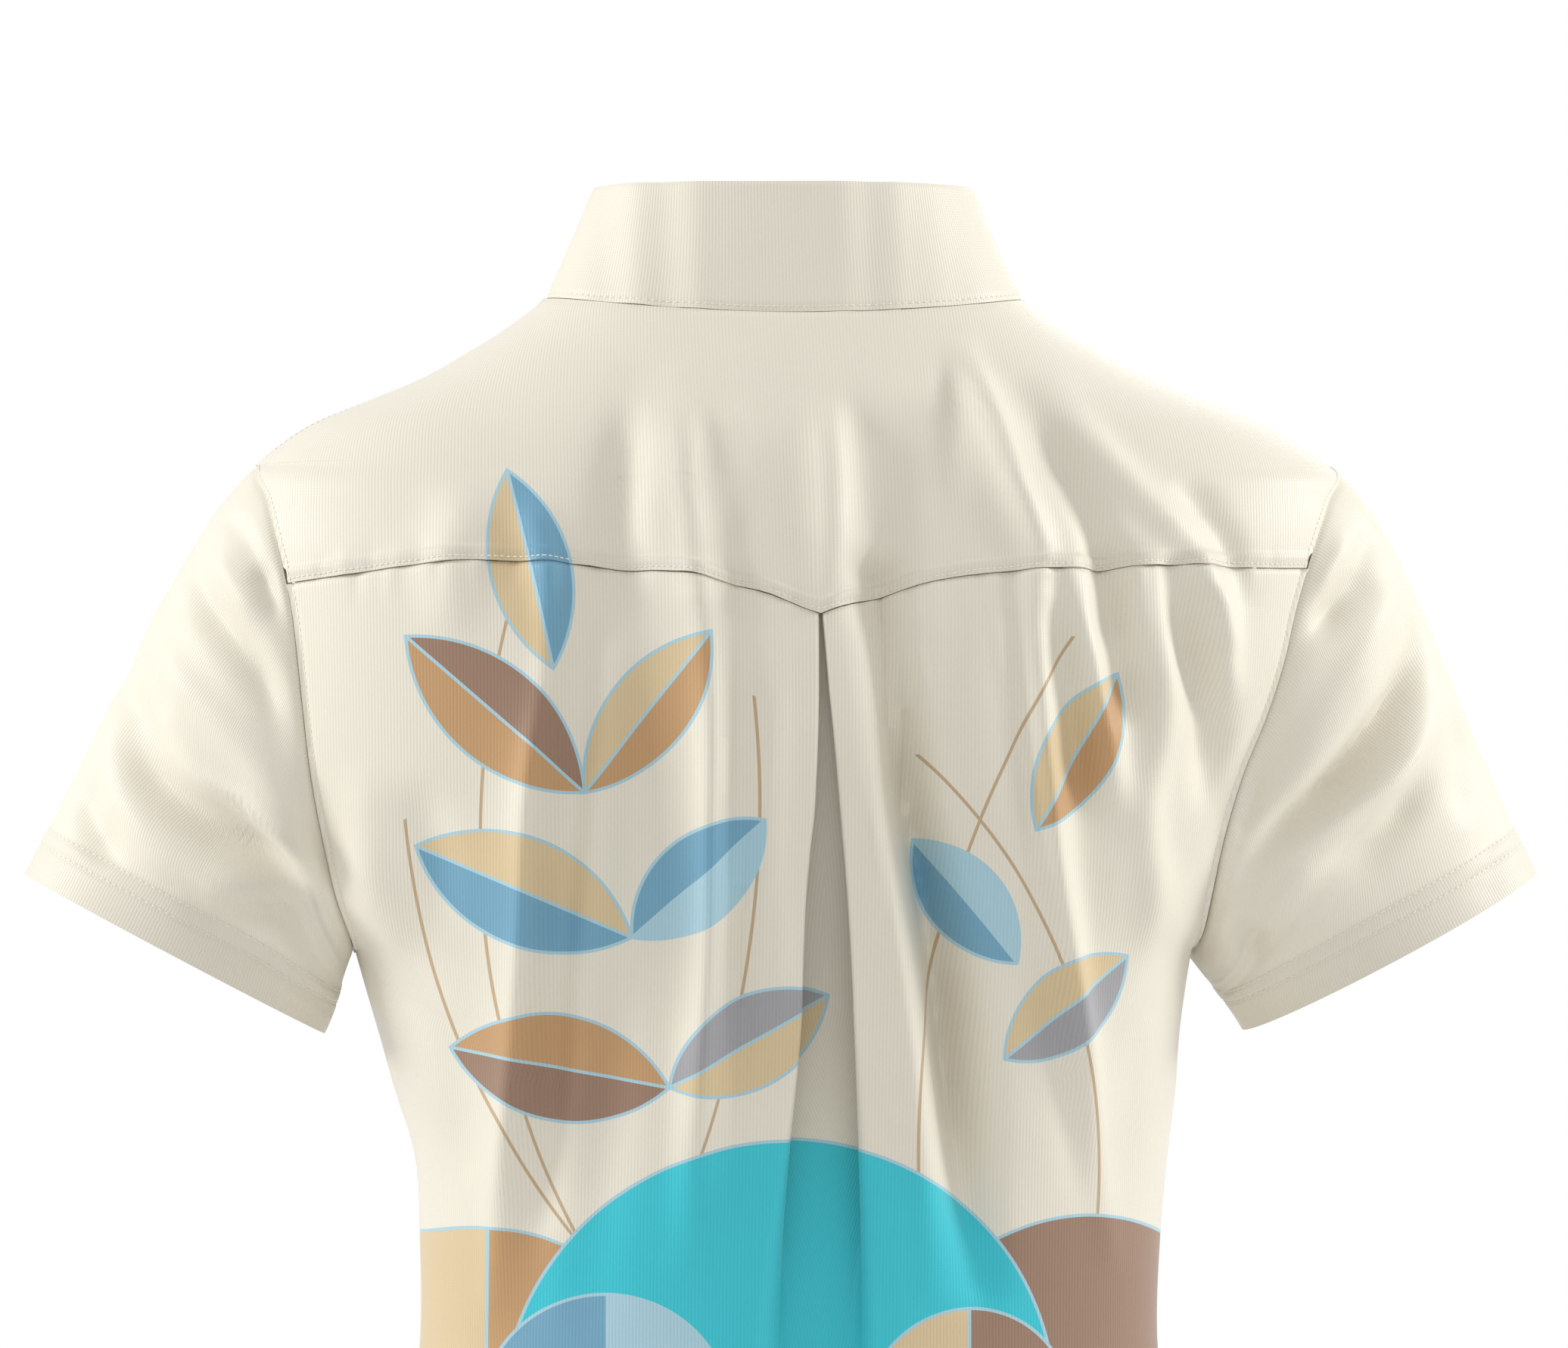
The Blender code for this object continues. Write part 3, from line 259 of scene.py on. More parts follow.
# The fine relief of the sewing. Rolls lie along the seams, and dents along the stitches.
CREASE_FADE = 5.0
SEAM_ROLL = 0.5
SEAM_DENT = 0.38
DENT_WIDTH = 1.0
NARROW_DENT_WIDTH = 0.9
ROLL_WIDTH = 1.6
SLEEVE_ROLL_WIDTH = 1.8
DENT_FADE = 6.0
# Rolls of their own width, and their share of the usual depth.
YOKE_SEAM_ROLL = (0.8, 0.6)
BACK_SEAM_ROLL = (1.2, 1.4)
COLLAR_FOOT_ROLL = (1.2, 1.0)
COLLAR_TOP_ROLL = (0.9, 0.8)
YOKE_SEAM_LIFT = 0.8
YOKE_STITCH_UP = 1.5
ARMHOLE_STITCH_IN = 1.8
LOWEST_STITCH = ARMHOLE_BOTTOM + 1
COLLAR_STITCH_UP = 2.0
# How deep the cloth is doubled above the yoke's seam and in a hem, and how soft that ends.
# The knit also paints shade into its colour where the cloth is doubled.
SEAM_FOLD = (5.3, 1.4)
HEM_FOLD = (20.4, 1.6)
HEM_LIFT = 0.55
HEM_DENT = 0.45
SLEEVE_HEM_ROWS = (13.2, 19.4)
BODY_HEM_ROWS = (13.5, 19.7)
BAND_STITCH_IN = 2.0
BAND_BOX = 15.0

# Ripples where a seam gathers the cloth, on the left (1) and on the right (-1): how far each is
# from the middle, its width, its length down the cloth and its height.
Pucker = namedtuple("Pucker", "at width length height")
YOKE_PUCKERS = {
    1: table(
        Pucker, (6, 2.6, 5, -0.51), (13, 2.4, 6, 0.51), (22, 3.0, 6, -0.42), (47, 3.0, 6, 0.37),
        (66, 2.8, 6, -0.41), (82, 3.0, 7, 0.58), (90, 2.4, 8, -0.61), (99, 3.2, 7, 0.51),
        (107, 2.2, 8, -0.58), (118, 3.4, 9, 0.71), (127, 2.4, 7, -0.58), (136, 3.0, 8, 0.54),
        (146, 2.5, 9, -0.71), (155, 3.0, 8, 0.58), (166, 2.6, 9, -0.68), (177, 3.0, 8, 0.71),
        (187, 2.4, 7, -0.54),
    ),
    -1: table(
        Pucker, (8, 2.6, 6, 0.54), (16, 2.2, 5, -0.51), (27, 3.2, 6, 0.41), (52, 2.8, 7, -0.44),
        (74, 3.0, 7, 0.48), (84, 2.4, 8, -0.58), (93, 3.4, 7, 0.61), (104, 2.4, 8, -0.51),
        (112, 2.8, 9, 0.68), (122, 2.2, 8, -0.61), (133, 3.2, 8, 0.61), (143, 2.5, 9, -0.71),
        (151, 2.8, 8, 0.51), (162, 2.5, 9, -0.65), (171, 3.0, 8, 0.61), (183, 2.6, 7, -0.58),
    ),
}
BACK_PUCKERS = {
    1: table(
        Pucker, (44, 3.0, 9, -0.51), (60, 3.4, 10, 0.54), (80, 3.0, 9, -0.61), (95, 3.2, 11, 0.61),
        (111, 2.8, 9, -0.58), (124, 3.4, 12, 0.71), (139, 2.8, 10, -0.61), (158, 3.2, 10, 0.61),
        (172, 2.8, 9, -0.58),
    ),
    -1: table(
        Pucker, (46, 3.2, 9, 0.51), (63, 2.8, 10, -0.58), (88, 3.2, 9, 0.54), (101, 2.6, 12, -0.75),
        (116, 3.0, 12, 0.75), (129, 2.6, 12, -0.78), (144, 3.0, 11, 0.71), (158, 2.6, 10, -0.68),
        (174, 3.0, 9, 0.58),
    ),
}

# Soft upright bands on the back of the collar, which fade out towards its front.
COLLAR_BANDS_FROM = -20.0
COLLAR_BANDS_RUN = 30.0
Band = namedtuple("Band", "at width height foot top")
COLLAR_BANDS = table(
    Band, (73, 6, -0.8, 0.8, 1.0), (61, 5, 0.6, 1.0, 0.8), (50, 6, -0.9, 1.0, 0.8),
    (38, 5, 0.6, 1.0, 0.6), (14, 20, -1.2, 0.9, 1.0), (-16, 5, 0.5, 0.7, 1.0), (-27, 5, -0.5, 1.0, 0.9),
    (-38, 5, 0.5, 0.8, 0.9), (-62, 7, -0.5, 0.8, 0.6),
)

# Creases between and beside the large folds, on the body by their place seen from behind.
BACK_CREASES = table(
    Fold,
    # On the yoke, running down into the back.
    ((-8, -30, -9, -60, -8, -100, -7, -116), 6, 3, 0.2, 0.4),
    ((-36, -36, -33, -68, -28, -92, -25, -112), 13, -4, 0, 0.6),
    ((-60, -22, -70, -44, -77, -68, -85, -92, -87, -112), 6, 5, 0.3, 0.3),
    ((-82, -36, -92, -56, -104, -80, -113, -108, -116, -124), 6, -5.5, 0.2, 0.4),
    ((-98, -36, -108, -56, -118, -68, -143, -94, -152, -112), 7, 5, 0.2, 0.4),
    ((-138, -66, -153, -84, -162, -98, -166, -112), 6, -3.5, 0.1, 0.4),
    ((46, -30, 46, -56, 45, -80, 43, -112), 6, 4, 0.2, 0.5),
    ((64, -32, 68, -60, 70, -84, 66, -116), 8, -4, 0.2, 0.4), ((27, -36, 26, -60, 27, -76), 6, 1.4),
    ((30, -72, 30, -92, 28, -116), 6, -2.5, 0, 0.5), ((126, -66, 127, -88, 132, -108, 136, -136), 10, 3),
    ((104, -72, 100, -92, 97, -116), 6, 3, 0, 0.6),
    # On the left half of the back.
    ((97, -104, 99, -150, 103, -173, 105, -240, 109, -310, 116, -380), 5, 4.5, 0.4, 0.3),
    ((87, -108, 86, -150, 90, -200, 94, -250, 97, -310, 102, -380), 6, -3.5, 0.3, 0.2),
    ((66, -106, 64, -140, 68, -180, 72, -250, 75, -300, 80, -380), 10, -5, 0.3, 0.2),
    ((42, -104, 39, -150, 40, -200, 40, -250, 43, -300, 47, -360), 5.5, 4, 0.4, 0.1),
    ((27, -104, 27, -150, 29, -190, 27, -230, 28, -280, 30, -330), 5, -3.5, 0.5, 0.2),
    ((13, -112, 14, -150, 15, -200, 13, -250, 14, -300), 5, 2.5, 0.3),
    ((168, -170, 164, -200, 158, -240), 8, 1.8),
    # On the right half of the back.
    ((-25, -104, -31, -140, -38, -195, -48, -240, -60, -310, -68, -370), 8, -16, 0.6, 0.2),
    ((-46, -106, -52, -150, -54, -200, -60, -250, -68, -310, -76, -370), 17, -4, 0.4, 0.1),
    ((-17, -122, -20, -150, -24, -195, -32, -240, -42, -310, -48, -370), 6, 3, 0, 0.2),
    ((-66, -108, -71, -150, -74, -190, -79, -222, -82, -250), 6, 3, 0.3),
    ((-74, -106, -77, -150, -80, -180, -85, -218, -94, -274, -102, -330), 5, -3, 0.3, 0.2),
    ((-83, -106, -85, -173, -91, -218, -96, -240, -102, -274, -118, -360), 5.5, 4.5, 0.4, 0.2),
    ((-91, -108, -94, -128, -97, -150, -100, -176, -104, -205), 5.5, -4, 0.4),
    ((-99, -104, -103, -128, -108, -150, -111, -173, -118, -198), 6.5, 7, 0.4, 0.1),
    ((-113, -98, -116, -120, -119, -140, -118, -166), 6.5, -7, 0.7),
    ((-130, -104, -134, -132, -134, -160, -127, -195, -130, -218, -122, -280), 7, 4, 0.5),
    ((-124, -168, -120, -200, -120, -250), 12, 2.5),
    ((-138, -102, -143, -124, -149, -150, -151, -175, -153, -202), 7, -4, 0.5),
    ((-151, -102, -156, -128, -161, -160), 6, 4, 0.5), ((-168, -192, -166, -216, -158, -244), 8, -3, 0.2),
    # Under the arms and at the waist.
    ((134, -262, 128, -296, 124, -340), 9, -1.6), ((-130, -268, -126, -300, -124, -350), 9, -1.6),
)
FRONT_CREASES = table(
    Fold,
    ((60, -150, 52, -190, 54, -240), 6, -2.2), ((-58, -150, -50, -196, -54, -250), 6, -2.4),
    ((92, -120, 84, -160, 82, -210), 7, 2.2), ((-94, -118, -88, -158, -80, -204), 7, 2),
    ((122, -100, 112, -140, 110, -176), 6, -2.6, 0.2), ((-126, -104, -118, -148, -108, -190), 6, -2.8, 0.2),
    ((150, -130, 140, -160, 126, -188), 6, -2.4, 0.2), ((-148, -140, -136, -172, -124, -190), 6, -2.2, 0.2),
    ((26, -215, 22, -250, 26, -300), 5, 1.4), ((-24, -218, -20, -260, -26, -310), 5, 1.6),
    ((150, -240, 132, -256, 118, -280), 5, -2), ((-146, -240, -130, -258, -118, -284), 5, -2.2),
    ((98, -280, 92, -350, 96, -430), 7, 2.4), ((-96, -290, -98, -360, -104, -440), 7, 2),
    ((60, -290, 56, -360, 60, -430), 7, -2.4), ((-62, -300, -60, -380, -66, -450), 7, -2.2),
)
LEFT_SLEEVE_CREASES = table(
    Fold,
    ((0.62, 14, 0.66, 34, 0.68, 52, 0.64, 78, 0.44, 102, 0.12, 132), 6.5, -7.5, 0, 0.2),
    ((0.60, 44, 0.58, 70, 0.47, 88, 0.21, 112, 0.05, 132), 5.5, 6.5, 0, 0.1),
    ((0.80, 44, 0.80, 66, 0.74, 86, 0.56, 108, 0.30, 132), 6.5, 3.5),
    ((0.50, 16, 0.54, 34, 0.56, 52), 6, -2.5),
    ((0.34, 24, 0.32, 46, 0.28, 64, 0.22, 78, 0.10, 90), 6.5, -4), ((0.22, 28, 0.20, 52, 0.13, 70), 6, 2.5),
    ((0.12, 50, 0.07, 62, 0.03, 74), 4.5, -3, 0, 0.3),
    ((0.76, 90, 0.62, 108, 0.44, 122, 0.20, 142), 7.5, -4.5, 0, 0.2),
    ((0.76, 14, 0.82, 36, 0.88, 60), 8, -3), ((0.84, 80, 0.80, 110, 0.72, 136), 8, -2.5),
    ((0.60, 350, 0.52, 318, 0.40, 286), 6, -3), ((0.30, 338, 0.28, 306, 0.20, 276), 6, -2.4),
    ((0.76, 332, 0.72, 296, 0.60, 264), 7, -2.4),
)
RIGHT_SLEEVE_CREASES = table(
    Fold,
    ((0.38, 22, 0.46, 42, 0.48, 66, 0.42, 86, 0.29, 100, 0.12, 116), 6, -5.5, 0, 0.2),
    ((0.58, 40, 0.57, 70, 0.49, 86, 0.36, 106, 0.20, 128), 5.5, 5.5, 0, 0.1),
    ((0.34, 44, 0.36, 70, 0.29, 90, 0.18, 104), 6, 2.5),
    ((0.66, 50, 0.67, 72, 0.60, 90, 0.46, 106), 6.5, -4),
    ((0.24, 34, 0.20, 52, 0.13, 66, 0.03, 76), 6, -4, 0, 0.3), ((0.12, 38, 0.08, 56, 0.03, 68), 5.5, 2),
    ((0.62, 20, 0.72, 38, 0.82, 50), 7, -3), ((0.02, 96, 0.10, 104, 0.05, 116), 5, -2.5, 0.4),
    ((0.14, 138, 0.40, 134, 0.62, 128), 6, -3.5), ((0.60, 346, 0.54, 314, 0.42, 284), 6, -3.2),
    ((0.32, 340, 0.30, 308, 0.22, 278), 6, -2.2), ((0.78, 328, 0.72, 298, 0.62, 266), 7, -2.2),
)

# How far the body is evened out round the foot of the armhole, and how near its edge.
ARMPIT_RUN = 26.0
ARMPIT_EDGE = 2.0
ARMPIT_PASSES = 90

# The cut of a cloth piece, laid flat: width, length and area in metres. No piece here is given one.
Cut = namedtuple("Cut", "width length area held")

# The print: each leaf or dome is where two discs overlap, in two tones parted by a line.
Leaf = namedtuple("Leaf", "foot_x foot_z tip_x tip_z half_width left right")
Dome = namedtuple("Dome", "x base radius left right")
Stem = namedtuple("Stem", "foot_x foot_z tip_x tip_z bend")
PRINT_STEMS = table(
    Stem, (38, -420, 104, -92, 46), (-58, -420, -98, -128, 34), (12, -420, 150, -196, 30),
    (-96, -420, -40, -172, -40), (88, -420, 22, -150, -24),
)
PRINT_DOMES = table(
    Dome, (-106, -420, 74, "brown", "brown"), (118, -420, 70, "tan", "camel"),
    (8, -420, 104, "cyan", "cyan"), (74, -420, 46, "blue", "aqua"), (-62, -420, 40, "tan", "brown"),
)
PRINT_LEAVES = table(
    Leaf,
    (96, -140, 112, -66, 15, "blue", "tan"),
    (84, -186, 150, -128, 18, "brown", "camel"),
    (84, -186, 38, -126, 15, "camel", "tan"),
    (66, -240, 146, -206, 20, "tan", "blue"),
    (66, -240, 18, -196, 16, "aqua", "blue"),
    (52, -296, 132, -282, 20, "camel", "brown"),
    (52, -296, -8, -262, 17, "tan", "grey"),
    (-84, -200, -116, -142, 14, "camel", "tan"),
    (-78, -250, -40, -204, 14, "aqua", "blue"),
    (-74, -286, -122, -248, 15, "grey", "tan"),
)

# A dome's flat foot is the edge of a disc so large that it looks straight.
FAR_DISC = 4000.0

# The knit: its own map and the mark of doubled cloth, its relief, painted shades, mottle and shine.
CLOTH_MAP = "cloth"
DOUBLED = "doubled"
SHARP_ANGLE = math.radians(50)
LOOP_HEIGHT = 0.0010
LOOP_SLANT = 1.2
LOOP_SHARE = 0.25
FUZZ_SCALE = 1500.0
FUZZ_SHARE = 0.2
# Painted shade where the cloth is doubled: how much its colour is lowered there.
DOUBLED_PAINTED_SHADE = 0.06
# Painted shade in the grooves between the ribs: the share of the colour left at their deepest.
RIB_GROOVE_PAINTED_SHADE = 0.92
MOTTLE_SCALE = 30.0
MOTTLE_DETAIL = 3.0
MOTTLE = 0.05
KNIT_ROUGHNESS = 0.46
KNIT_ROUGHENING = 0.12
KNIT_SHINE = 0.3
SHEEN_ROUGHNESS = 0.45
SHEEN_TINT = (1.0, 0.98, 0.94)

# Thread: a bar with a ring of points at each (place along it, thickness there).
THREAD_RINGS = ((-0.4, 0.72), (-0.2, 1.0), (0.2, 1.0), (0.4, 0.72))
THREAD_SIDES = 6
THREAD_PROUD = 0.25
THREAD_DIP = 0.9
THREAD_ROUGHNESS = 0.42
# Painted shade where the thread's twist sinks: the share of its colour left at the deepest.
THREAD_GROOVE_PAINTED_SHADE = 0.92
TWIST_SCALE = 4200.0
TWIST_DEPTH = 0.00006
# How much the painted shade lifts where the twist rises.
TWIST_PAINTED_SHADE = 0.1
STITCH_GAP = 0.16
STITCH_SPREAD = 0.05
STITCH_LEAN = 0.05

# Buttons: the fine shape and the finish of the resin.
BUTTON_ROUND = 48
HOLE_ROUND = 16
DRILL_LENGTH = BUTTON_HEIGHT * 3
BUTTON_SLOPE = 0.6
BUTTON_DISH = 0.5
BUTTON_THREAD = 0.5
ROUNDING_STEPS = 3
ROUNDING_ANGLE = math.radians(40)
FLAT_ENOUGH = 0.9
RESIN_ROUGHNESS = 0.22
SMOOTHEST_RESIN = 0.16
SCRATCH_SCALE = 900.0
SCRATCH_ROUGHENING = 0.14
SWIRL_SCALE = 160.0
SWIRL_SHADE = 0.9
# Strands of thread through two holes, as shares of the thread's thickness: how far apart they
# lie, how much the middle one rises, and how thick each is. The last is how far each reaches
# into its holes, as a share of a hole.
STRAND_SPACING = 0.8
STRAND_RISE = 0.2
STRAND_HEIGHT = 1.2
STRAND_REACH = 0.8

# The studio: the camera's sensor and view and the floor's level in millimetres, the rest in
# metres.
SENSOR = 36.0
VIEW_WIDTH = 600.9
VIEW_MIDDLE = (1.44, -0.13, -142.0)
FLOOR_RADIUS = 2.3
FLOOR_LEVEL = -665.0
FLOOR_ROUGHNESS = 0.6
FLOOR_SPECKLE = 0.2
SIDE_LIGHT_PLACE = (1.92, 0.12, 0.55)
SIDE_LIGHT_AIM = (0.0, 0.0, -0.15)
SIDE_LIGHT_SIZE = 0.5
FRONT_LIGHT_PLACE = (-0.8, -2.2, 1.0)
FRONT_LIGHT_AIM = (0.0, 0.0, -0.25)
FRONT_LIGHT_SIZE = 1.4

# A distance that stands for no edge being near, a length next to nothing, and rows or columns
# too near each other to keep both.
BEYOND = 1000.0
TINY = 1e-9
TOO_NEAR = 0.01

# Grid counts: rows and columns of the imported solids, and how much finer the cloth is. Rows are
# closer still at a piece's head and foot: over how many steps of each, and how many times.
CLOSE_ENDS = (0.5, 1.0, 4)
FRONT_CLOSE_ENDS = (0.0, 1.0, 8)
SLEEVE_CLOSE_ENDS = (0.5, 2.0, 3)
SHOULDER_STEPS = 6
YOKE_ARMHOLE_STEPS = 3
BACK_ARMHOLE_STEPS = 10
FRONT_ARMHOLE_STEPS = 13
BODY_STEPS = 13
EDGE_CROWDING = 0.5
OPENING_STEPS = 14
RING_SAMPLES = 72
YOKE_FINENESS = 6
BACK_FINENESS = 7
FRONT_FINENESS = 4
PLEAT_FINENESS = 3
YOKE_COLUMNS = 84
BACK_COLUMNS = 95
FRONT_COLUMNS = 60
SLEEVE_STEPS = 12
SLEEVE_FINENESS = 6
SLEEVE_COLUMNS = 156
COLLAR_STEPS = 6
COLLAR_FINENESS = 3
COLLAR_BACK_COLUMNS = 120
COLLAR_FRONT_COLUMNS = 60
BAND_FINENESS = 6
BAND_COLUMNS = 14
BAND_ROW_INSET = 2
OPENING_COLUMNS = 4
SEAM_ROWS = 6
YOKE_ROW_POWER = 1.2
SHOULDER_WIDENING = -0.25
BODY_WIDENING = 0.3
PLEAT_WIDENING = 0.1
FRONT_WIDENING = 0.45
SLEEVE_WIDENING = 0.15


def column(rows, name):
    """One named column of a table, as numbers."""
    return np.array([getattr(row, name) for row in rows], dtype=float)


def cubic(t, start, end, leave, arrive):
    """A cubic curve from start to end at shares t of the way, with its slopes at both ends."""
    return (start * (1 + 2 * t) * (1 - t) ** 2 + leave * t * (1 - t) ** 2
            + end * t ** 2 * (3 - 2 * t) - arrive * t ** 2 * (1 - t))


def through(keys, values, at):
    """A smooth curve through the rows of a table: cubic pieces with the rows' mean slopes."""
    slopes = np.gradient(values, keys, axis=0)
    at = np.clip(at, keys[0], keys[-1])
    piece = np.clip(np.searchsorted(keys, at, side="right") - 1, 0, len(keys) - 2)
    span = keys[piece + 1] - keys[piece]
    t = (at - keys[piece]) / span
    shape = t.shape + (1,) * (values.ndim - 1)
    t, span = t.reshape(shape), span.reshape(shape)
    return cubic(t, values[piece], values[piece + 1], slopes[piece] * span,
                 slopes[piece + 1] * span)


def read(rows, key, name, at):
    """The value of one column of a table at given keys."""
    return through(column(rows, key), column(rows, name), np.asarray(at, dtype=float))


def ease(t):
    """Rises smoothly from 0 to 1 as t does."""
    t = np.clip(t, 0.0, 1.0)
    return t * t * (3 - 2 * t)


def widening(steps, more):
    """Shares that run from 0 to 1 as the steps do, with gaps that widen on the way."""
    return (1 - more) * steps + more * steps ** 2


def half_width(level, side):
    """Half-width where the front meets the back, on the left (side > 0) or on the right."""
    left = read(EDGES, "level", "left", level)
    right = read(EDGES, "level", "right", level)
    return np.where(np.asarray(side) > 0, left, right)


def armhole_swing(level):
    """How far the armhole's oval stands out at a level: 0 at its two ends, 1 midway."""
    up = np.clip(np.abs(level - ARMHOLE_MIDDLE) / ARMHOLE_HALF, 0, 1)
    return (1 - up ** ARMHOLE_SQUARENESS) ** (1 / ARMHOLE_SQUARENESS)


def armhole_level(angle):
    """The height on the armhole at an angle in degrees from the shoulder."""
    up = np.cos(np.radians(angle))
    return ARMHOLE_MIDDLE + ARMHOLE_HALF * np.sign(up) * np.abs(up) ** (2 / ARMHOLE_SQUARENESS)


def armhole_angle(level):
    """The angle on the armhole, in degrees from the shoulder, at a height above its middle."""
    up = (level - ARMHOLE_MIDDLE) / ARMHOLE_HALF
    return np.degrees(np.arccos(up ** (ARMHOLE_SQUARENESS / 2)))


def edge_of(level, side, back):
    """The edge of a body panel at a level: its distance out from the middle, and back."""
    swing = armhole_swing(level)
    out = half_width(level, side)
    if back:
        return out, ARMHOLE_BACK_REACH * swing
    return out - ARMHOLE_FRONT_NARROWING * swing, ARMHOLE_FRONT_REACH * swing


def ring_at(level, side, back):
    """The oval of each ring: full half-width, depth, power, sag, edge and its last turn."""
    rings = BACK_RINGS if back else FRONT_RINGS
    depth = read(rings, "level", "depth", level)
    sag = read(rings, "level", "sag", level)
    power = read(rings, "level", "roundness", level)
    out, across = edge_of(level, side, back)
    full = out / (1 - (across / depth) ** power) ** (1 / power)
    last = np.arcsin(np.clip((out / full) ** (power / 2), 0, 1))
    return full, depth, power, sag, out, last


def ring_points(oval, turn):
    """Points of a ring at a turn from its middle: out, away from the middle plane, and dip."""
    full, depth, power, sag, out, _ = oval
    x = full * np.sin(turn) ** (2 / power)
    y = depth * np.clip(np.cos(turn), 0, 1) ** (2 / power)
    return x, y, sag * (1 - (x / out) ** 2)


def on_ring(reach, level, side, back):
    """Points at a distance along their rings from the middle, and each ring's whole length."""
    oval = ring_at(level, side, back)
    steps = np.linspace(0, 1, RING_SAMPLES)
    samples = ring_points([part[..., None] for part in oval], oval[-1][..., None] * steps)
    lengths = np.sqrt(sum(np.diff(part, axis=-1) ** 2 for part in samples))
    along = np.concatenate([np.zeros(lengths.shape[:-1] + (1,)), np.cumsum(lengths, -1)], -1)
    whole = along[..., -1]
    reach = np.clip(np.abs(reach), 0, whole)
    index = np.clip((along < reach[..., None]).sum(-1) - 1, 0, RING_SAMPLES - 2)
    start = np.take_along_axis(along, index[..., None], -1)[..., 0]
    length = np.take_along_axis(lengths, index[..., None], -1)[..., 0]
    turn = oval[-1] * (index + (reach - start) / length) / (RING_SAMPLES - 1)
    x, y, dip = ring_points(oval, turn)
    return np.stack([x * np.sign(side), y if back else -y, level - dip], axis=-1), whole


def reach_to_edge(level, side, back):
    """Distance along a ring from its middle to its edge."""
    level = np.asarray(level, dtype=float)
    return on_ring(np.zeros(level.shape), level, np.full(level.shape, side), back)[1]


def on_body(reach, level, back):
    """Points on the body. A reach past the shoulder ridge carries on down the other side."""
    reach, level = np.broadcast_arrays(np.asarray(reach, float), np.asarray(level, float))
    side = np.where(reach < 0, -1.0, 1.0)
    near, whole = on_ring(reach, level, side, back)
    over = np.clip(np.abs(reach) - whole, 0, None)
    if not over.any():
        return near
    other = on_ring(np.zeros(level.shape), level, side, not back)[1]
    far = on_ring(other - over, level, side, not back)[0]
    return np.where((over > 0)[..., None], far, near)


def outward(reach, level, back):
    """The way out of the cloth at points on the body."""
    step = 1.0
    across = on_body(reach + step, level, back) - on_body(reach - step, level, back)
    along = on_body(reach, level + step, back) - on_body(reach, level - step, back)
    normal = np.cross(across, along)
    normal *= np.sign(normal[..., 1:2]) * (1 if back else -1)
    return normal / np.linalg.norm(normal, axis=-1, keepdims=True)


def by_twos(numbers):
    """The points of a path from its flat list."""
    return np.reshape(numbers, (-1, 2)).astype(float)


def eased_path(path):
    """A fold's path with its corners rounded off."""
    along = np.concatenate([[0.0], np.cumsum(np.linalg.norm(np.diff(path, axis=0), axis=1))])
    return through(along, path, np.linspace(0, along[-1], PATH_FINENESS * (len(path) - 1) + 1))


def fold_height(points, path, fold):
    """How far a fold lifts points that are given in the same measure as its path."""
    path = eased_path(path)
    reach = FOLD_REACH * fold.width
    near = np.all((points > path.min(0) - reach) & (points < path.max(0) + reach), axis=-1)
    height = np.zeros(points.shape[:-1])
    height[near] = height_near(points[near], path, fold)
    return height


def height_near(points, path, fold):
    """How far a fold lifts the points that lie near its path."""
    nearest = np.full(points.shape[:-1], np.inf)
    share = np.zeros(points.shape[:-1])
    lengths = np.linalg.norm(np.diff(path, axis=0), axis=1)
    total = lengths.sum()
    done = 0.0
    for start, end, length in zip(path[:-1], path[1:], lengths):
        t = np.clip(((points - start) @ (end - start)) / length ** 2, 0, 1)
        away = np.linalg.norm(points - (start + t[..., None] * (end - start)), axis=-1)
        closer = away < nearest
        nearest = np.where(closer, away, nearest)
        share = np.where(closer, (done + t * length) / total, share)
        done += length
    rise = fold.start + (1 - fold.start) * ease(share / FOLD_TAPER)
    fall = fold.end + (1 - fold.end) * ease((1 - share) / FOLD_TAPER)
    return fold.height * rise * fall * np.exp(-(nearest / fold.width) ** 2)


def body_folds(points, folds):
    """Total height of the folds at points of the body, found by their place from behind."""
    flat = points[..., [0, 2]]
    return sum(fold_height(flat, by_twos(fold.path), fold) for fold in folds)


def dressed(reach, level, back, lift=0.0):
    """Points on the cloth of the body with its folds and creases."""
    points = on_body(reach, level, back)
    to_edge = np.abs(on_ring(reach, level, np.where(reach < 0, -1.0, 1.0), back)[1]
                     - np.abs(reach))
    fade = ease(to_edge / EDGE_FADE) * ease((NECK_LEVEL - level) / EDGE_FADE)
    height = body_folds(points, BACK_FOLDS if back else FRONT_FOLDS) * fade
    fade = ease(to_edge / CREASE_FADE) * ease((NECK_LEVEL - level) / CREASE_FADE)
    creases = BACK_CREASES if back else FRONT_CREASES
    height = height + body_folds(points, creases) * fade * shirt().cloth.crease_strength
    return points + outward(reach, level, back) * (height + lift)[..., None]


def eased_past_armpit(points, level, reach, to_edge):
    """The body's points, evened out down each column where the armhole meets the side seam."""
    share = np.exp(-((level - ARMHOLE_BOTTOM) / ARMPIT_RUN) ** 2)
    share = share * ease((to_edge - ARMPIT_EDGE) / ARMPIT_RUN)
    share = share * ease((np.abs(reach) - PLEAT_ZONE) / ARMPIT_RUN)
    share = share[1:-1, :, None] / 2
    points = points.copy()
    for _ in range(ARMPIT_PASSES):
        middle = (points[:-2] + points[2:]) / 2
        points[1:-1] += (middle - points[1:-1]) * share
    return points


def groove(distance, width=DENT_WIDTH, depth=1.0):
    """How far the cloth sinks at a distance from a seam or a row of stitches."""
    return -depth * np.exp(-(distance / width) ** 2)


def gathered(puckers, reach, from_seam):
    """The ripples of a seam that gathers the cloth, at a distance out and one from the seam."""
    return sum(size.height * np.exp(-((reach - size.at) / size.width) ** 2
                                    - (from_seam / size.length) ** 2) for size in puckers)


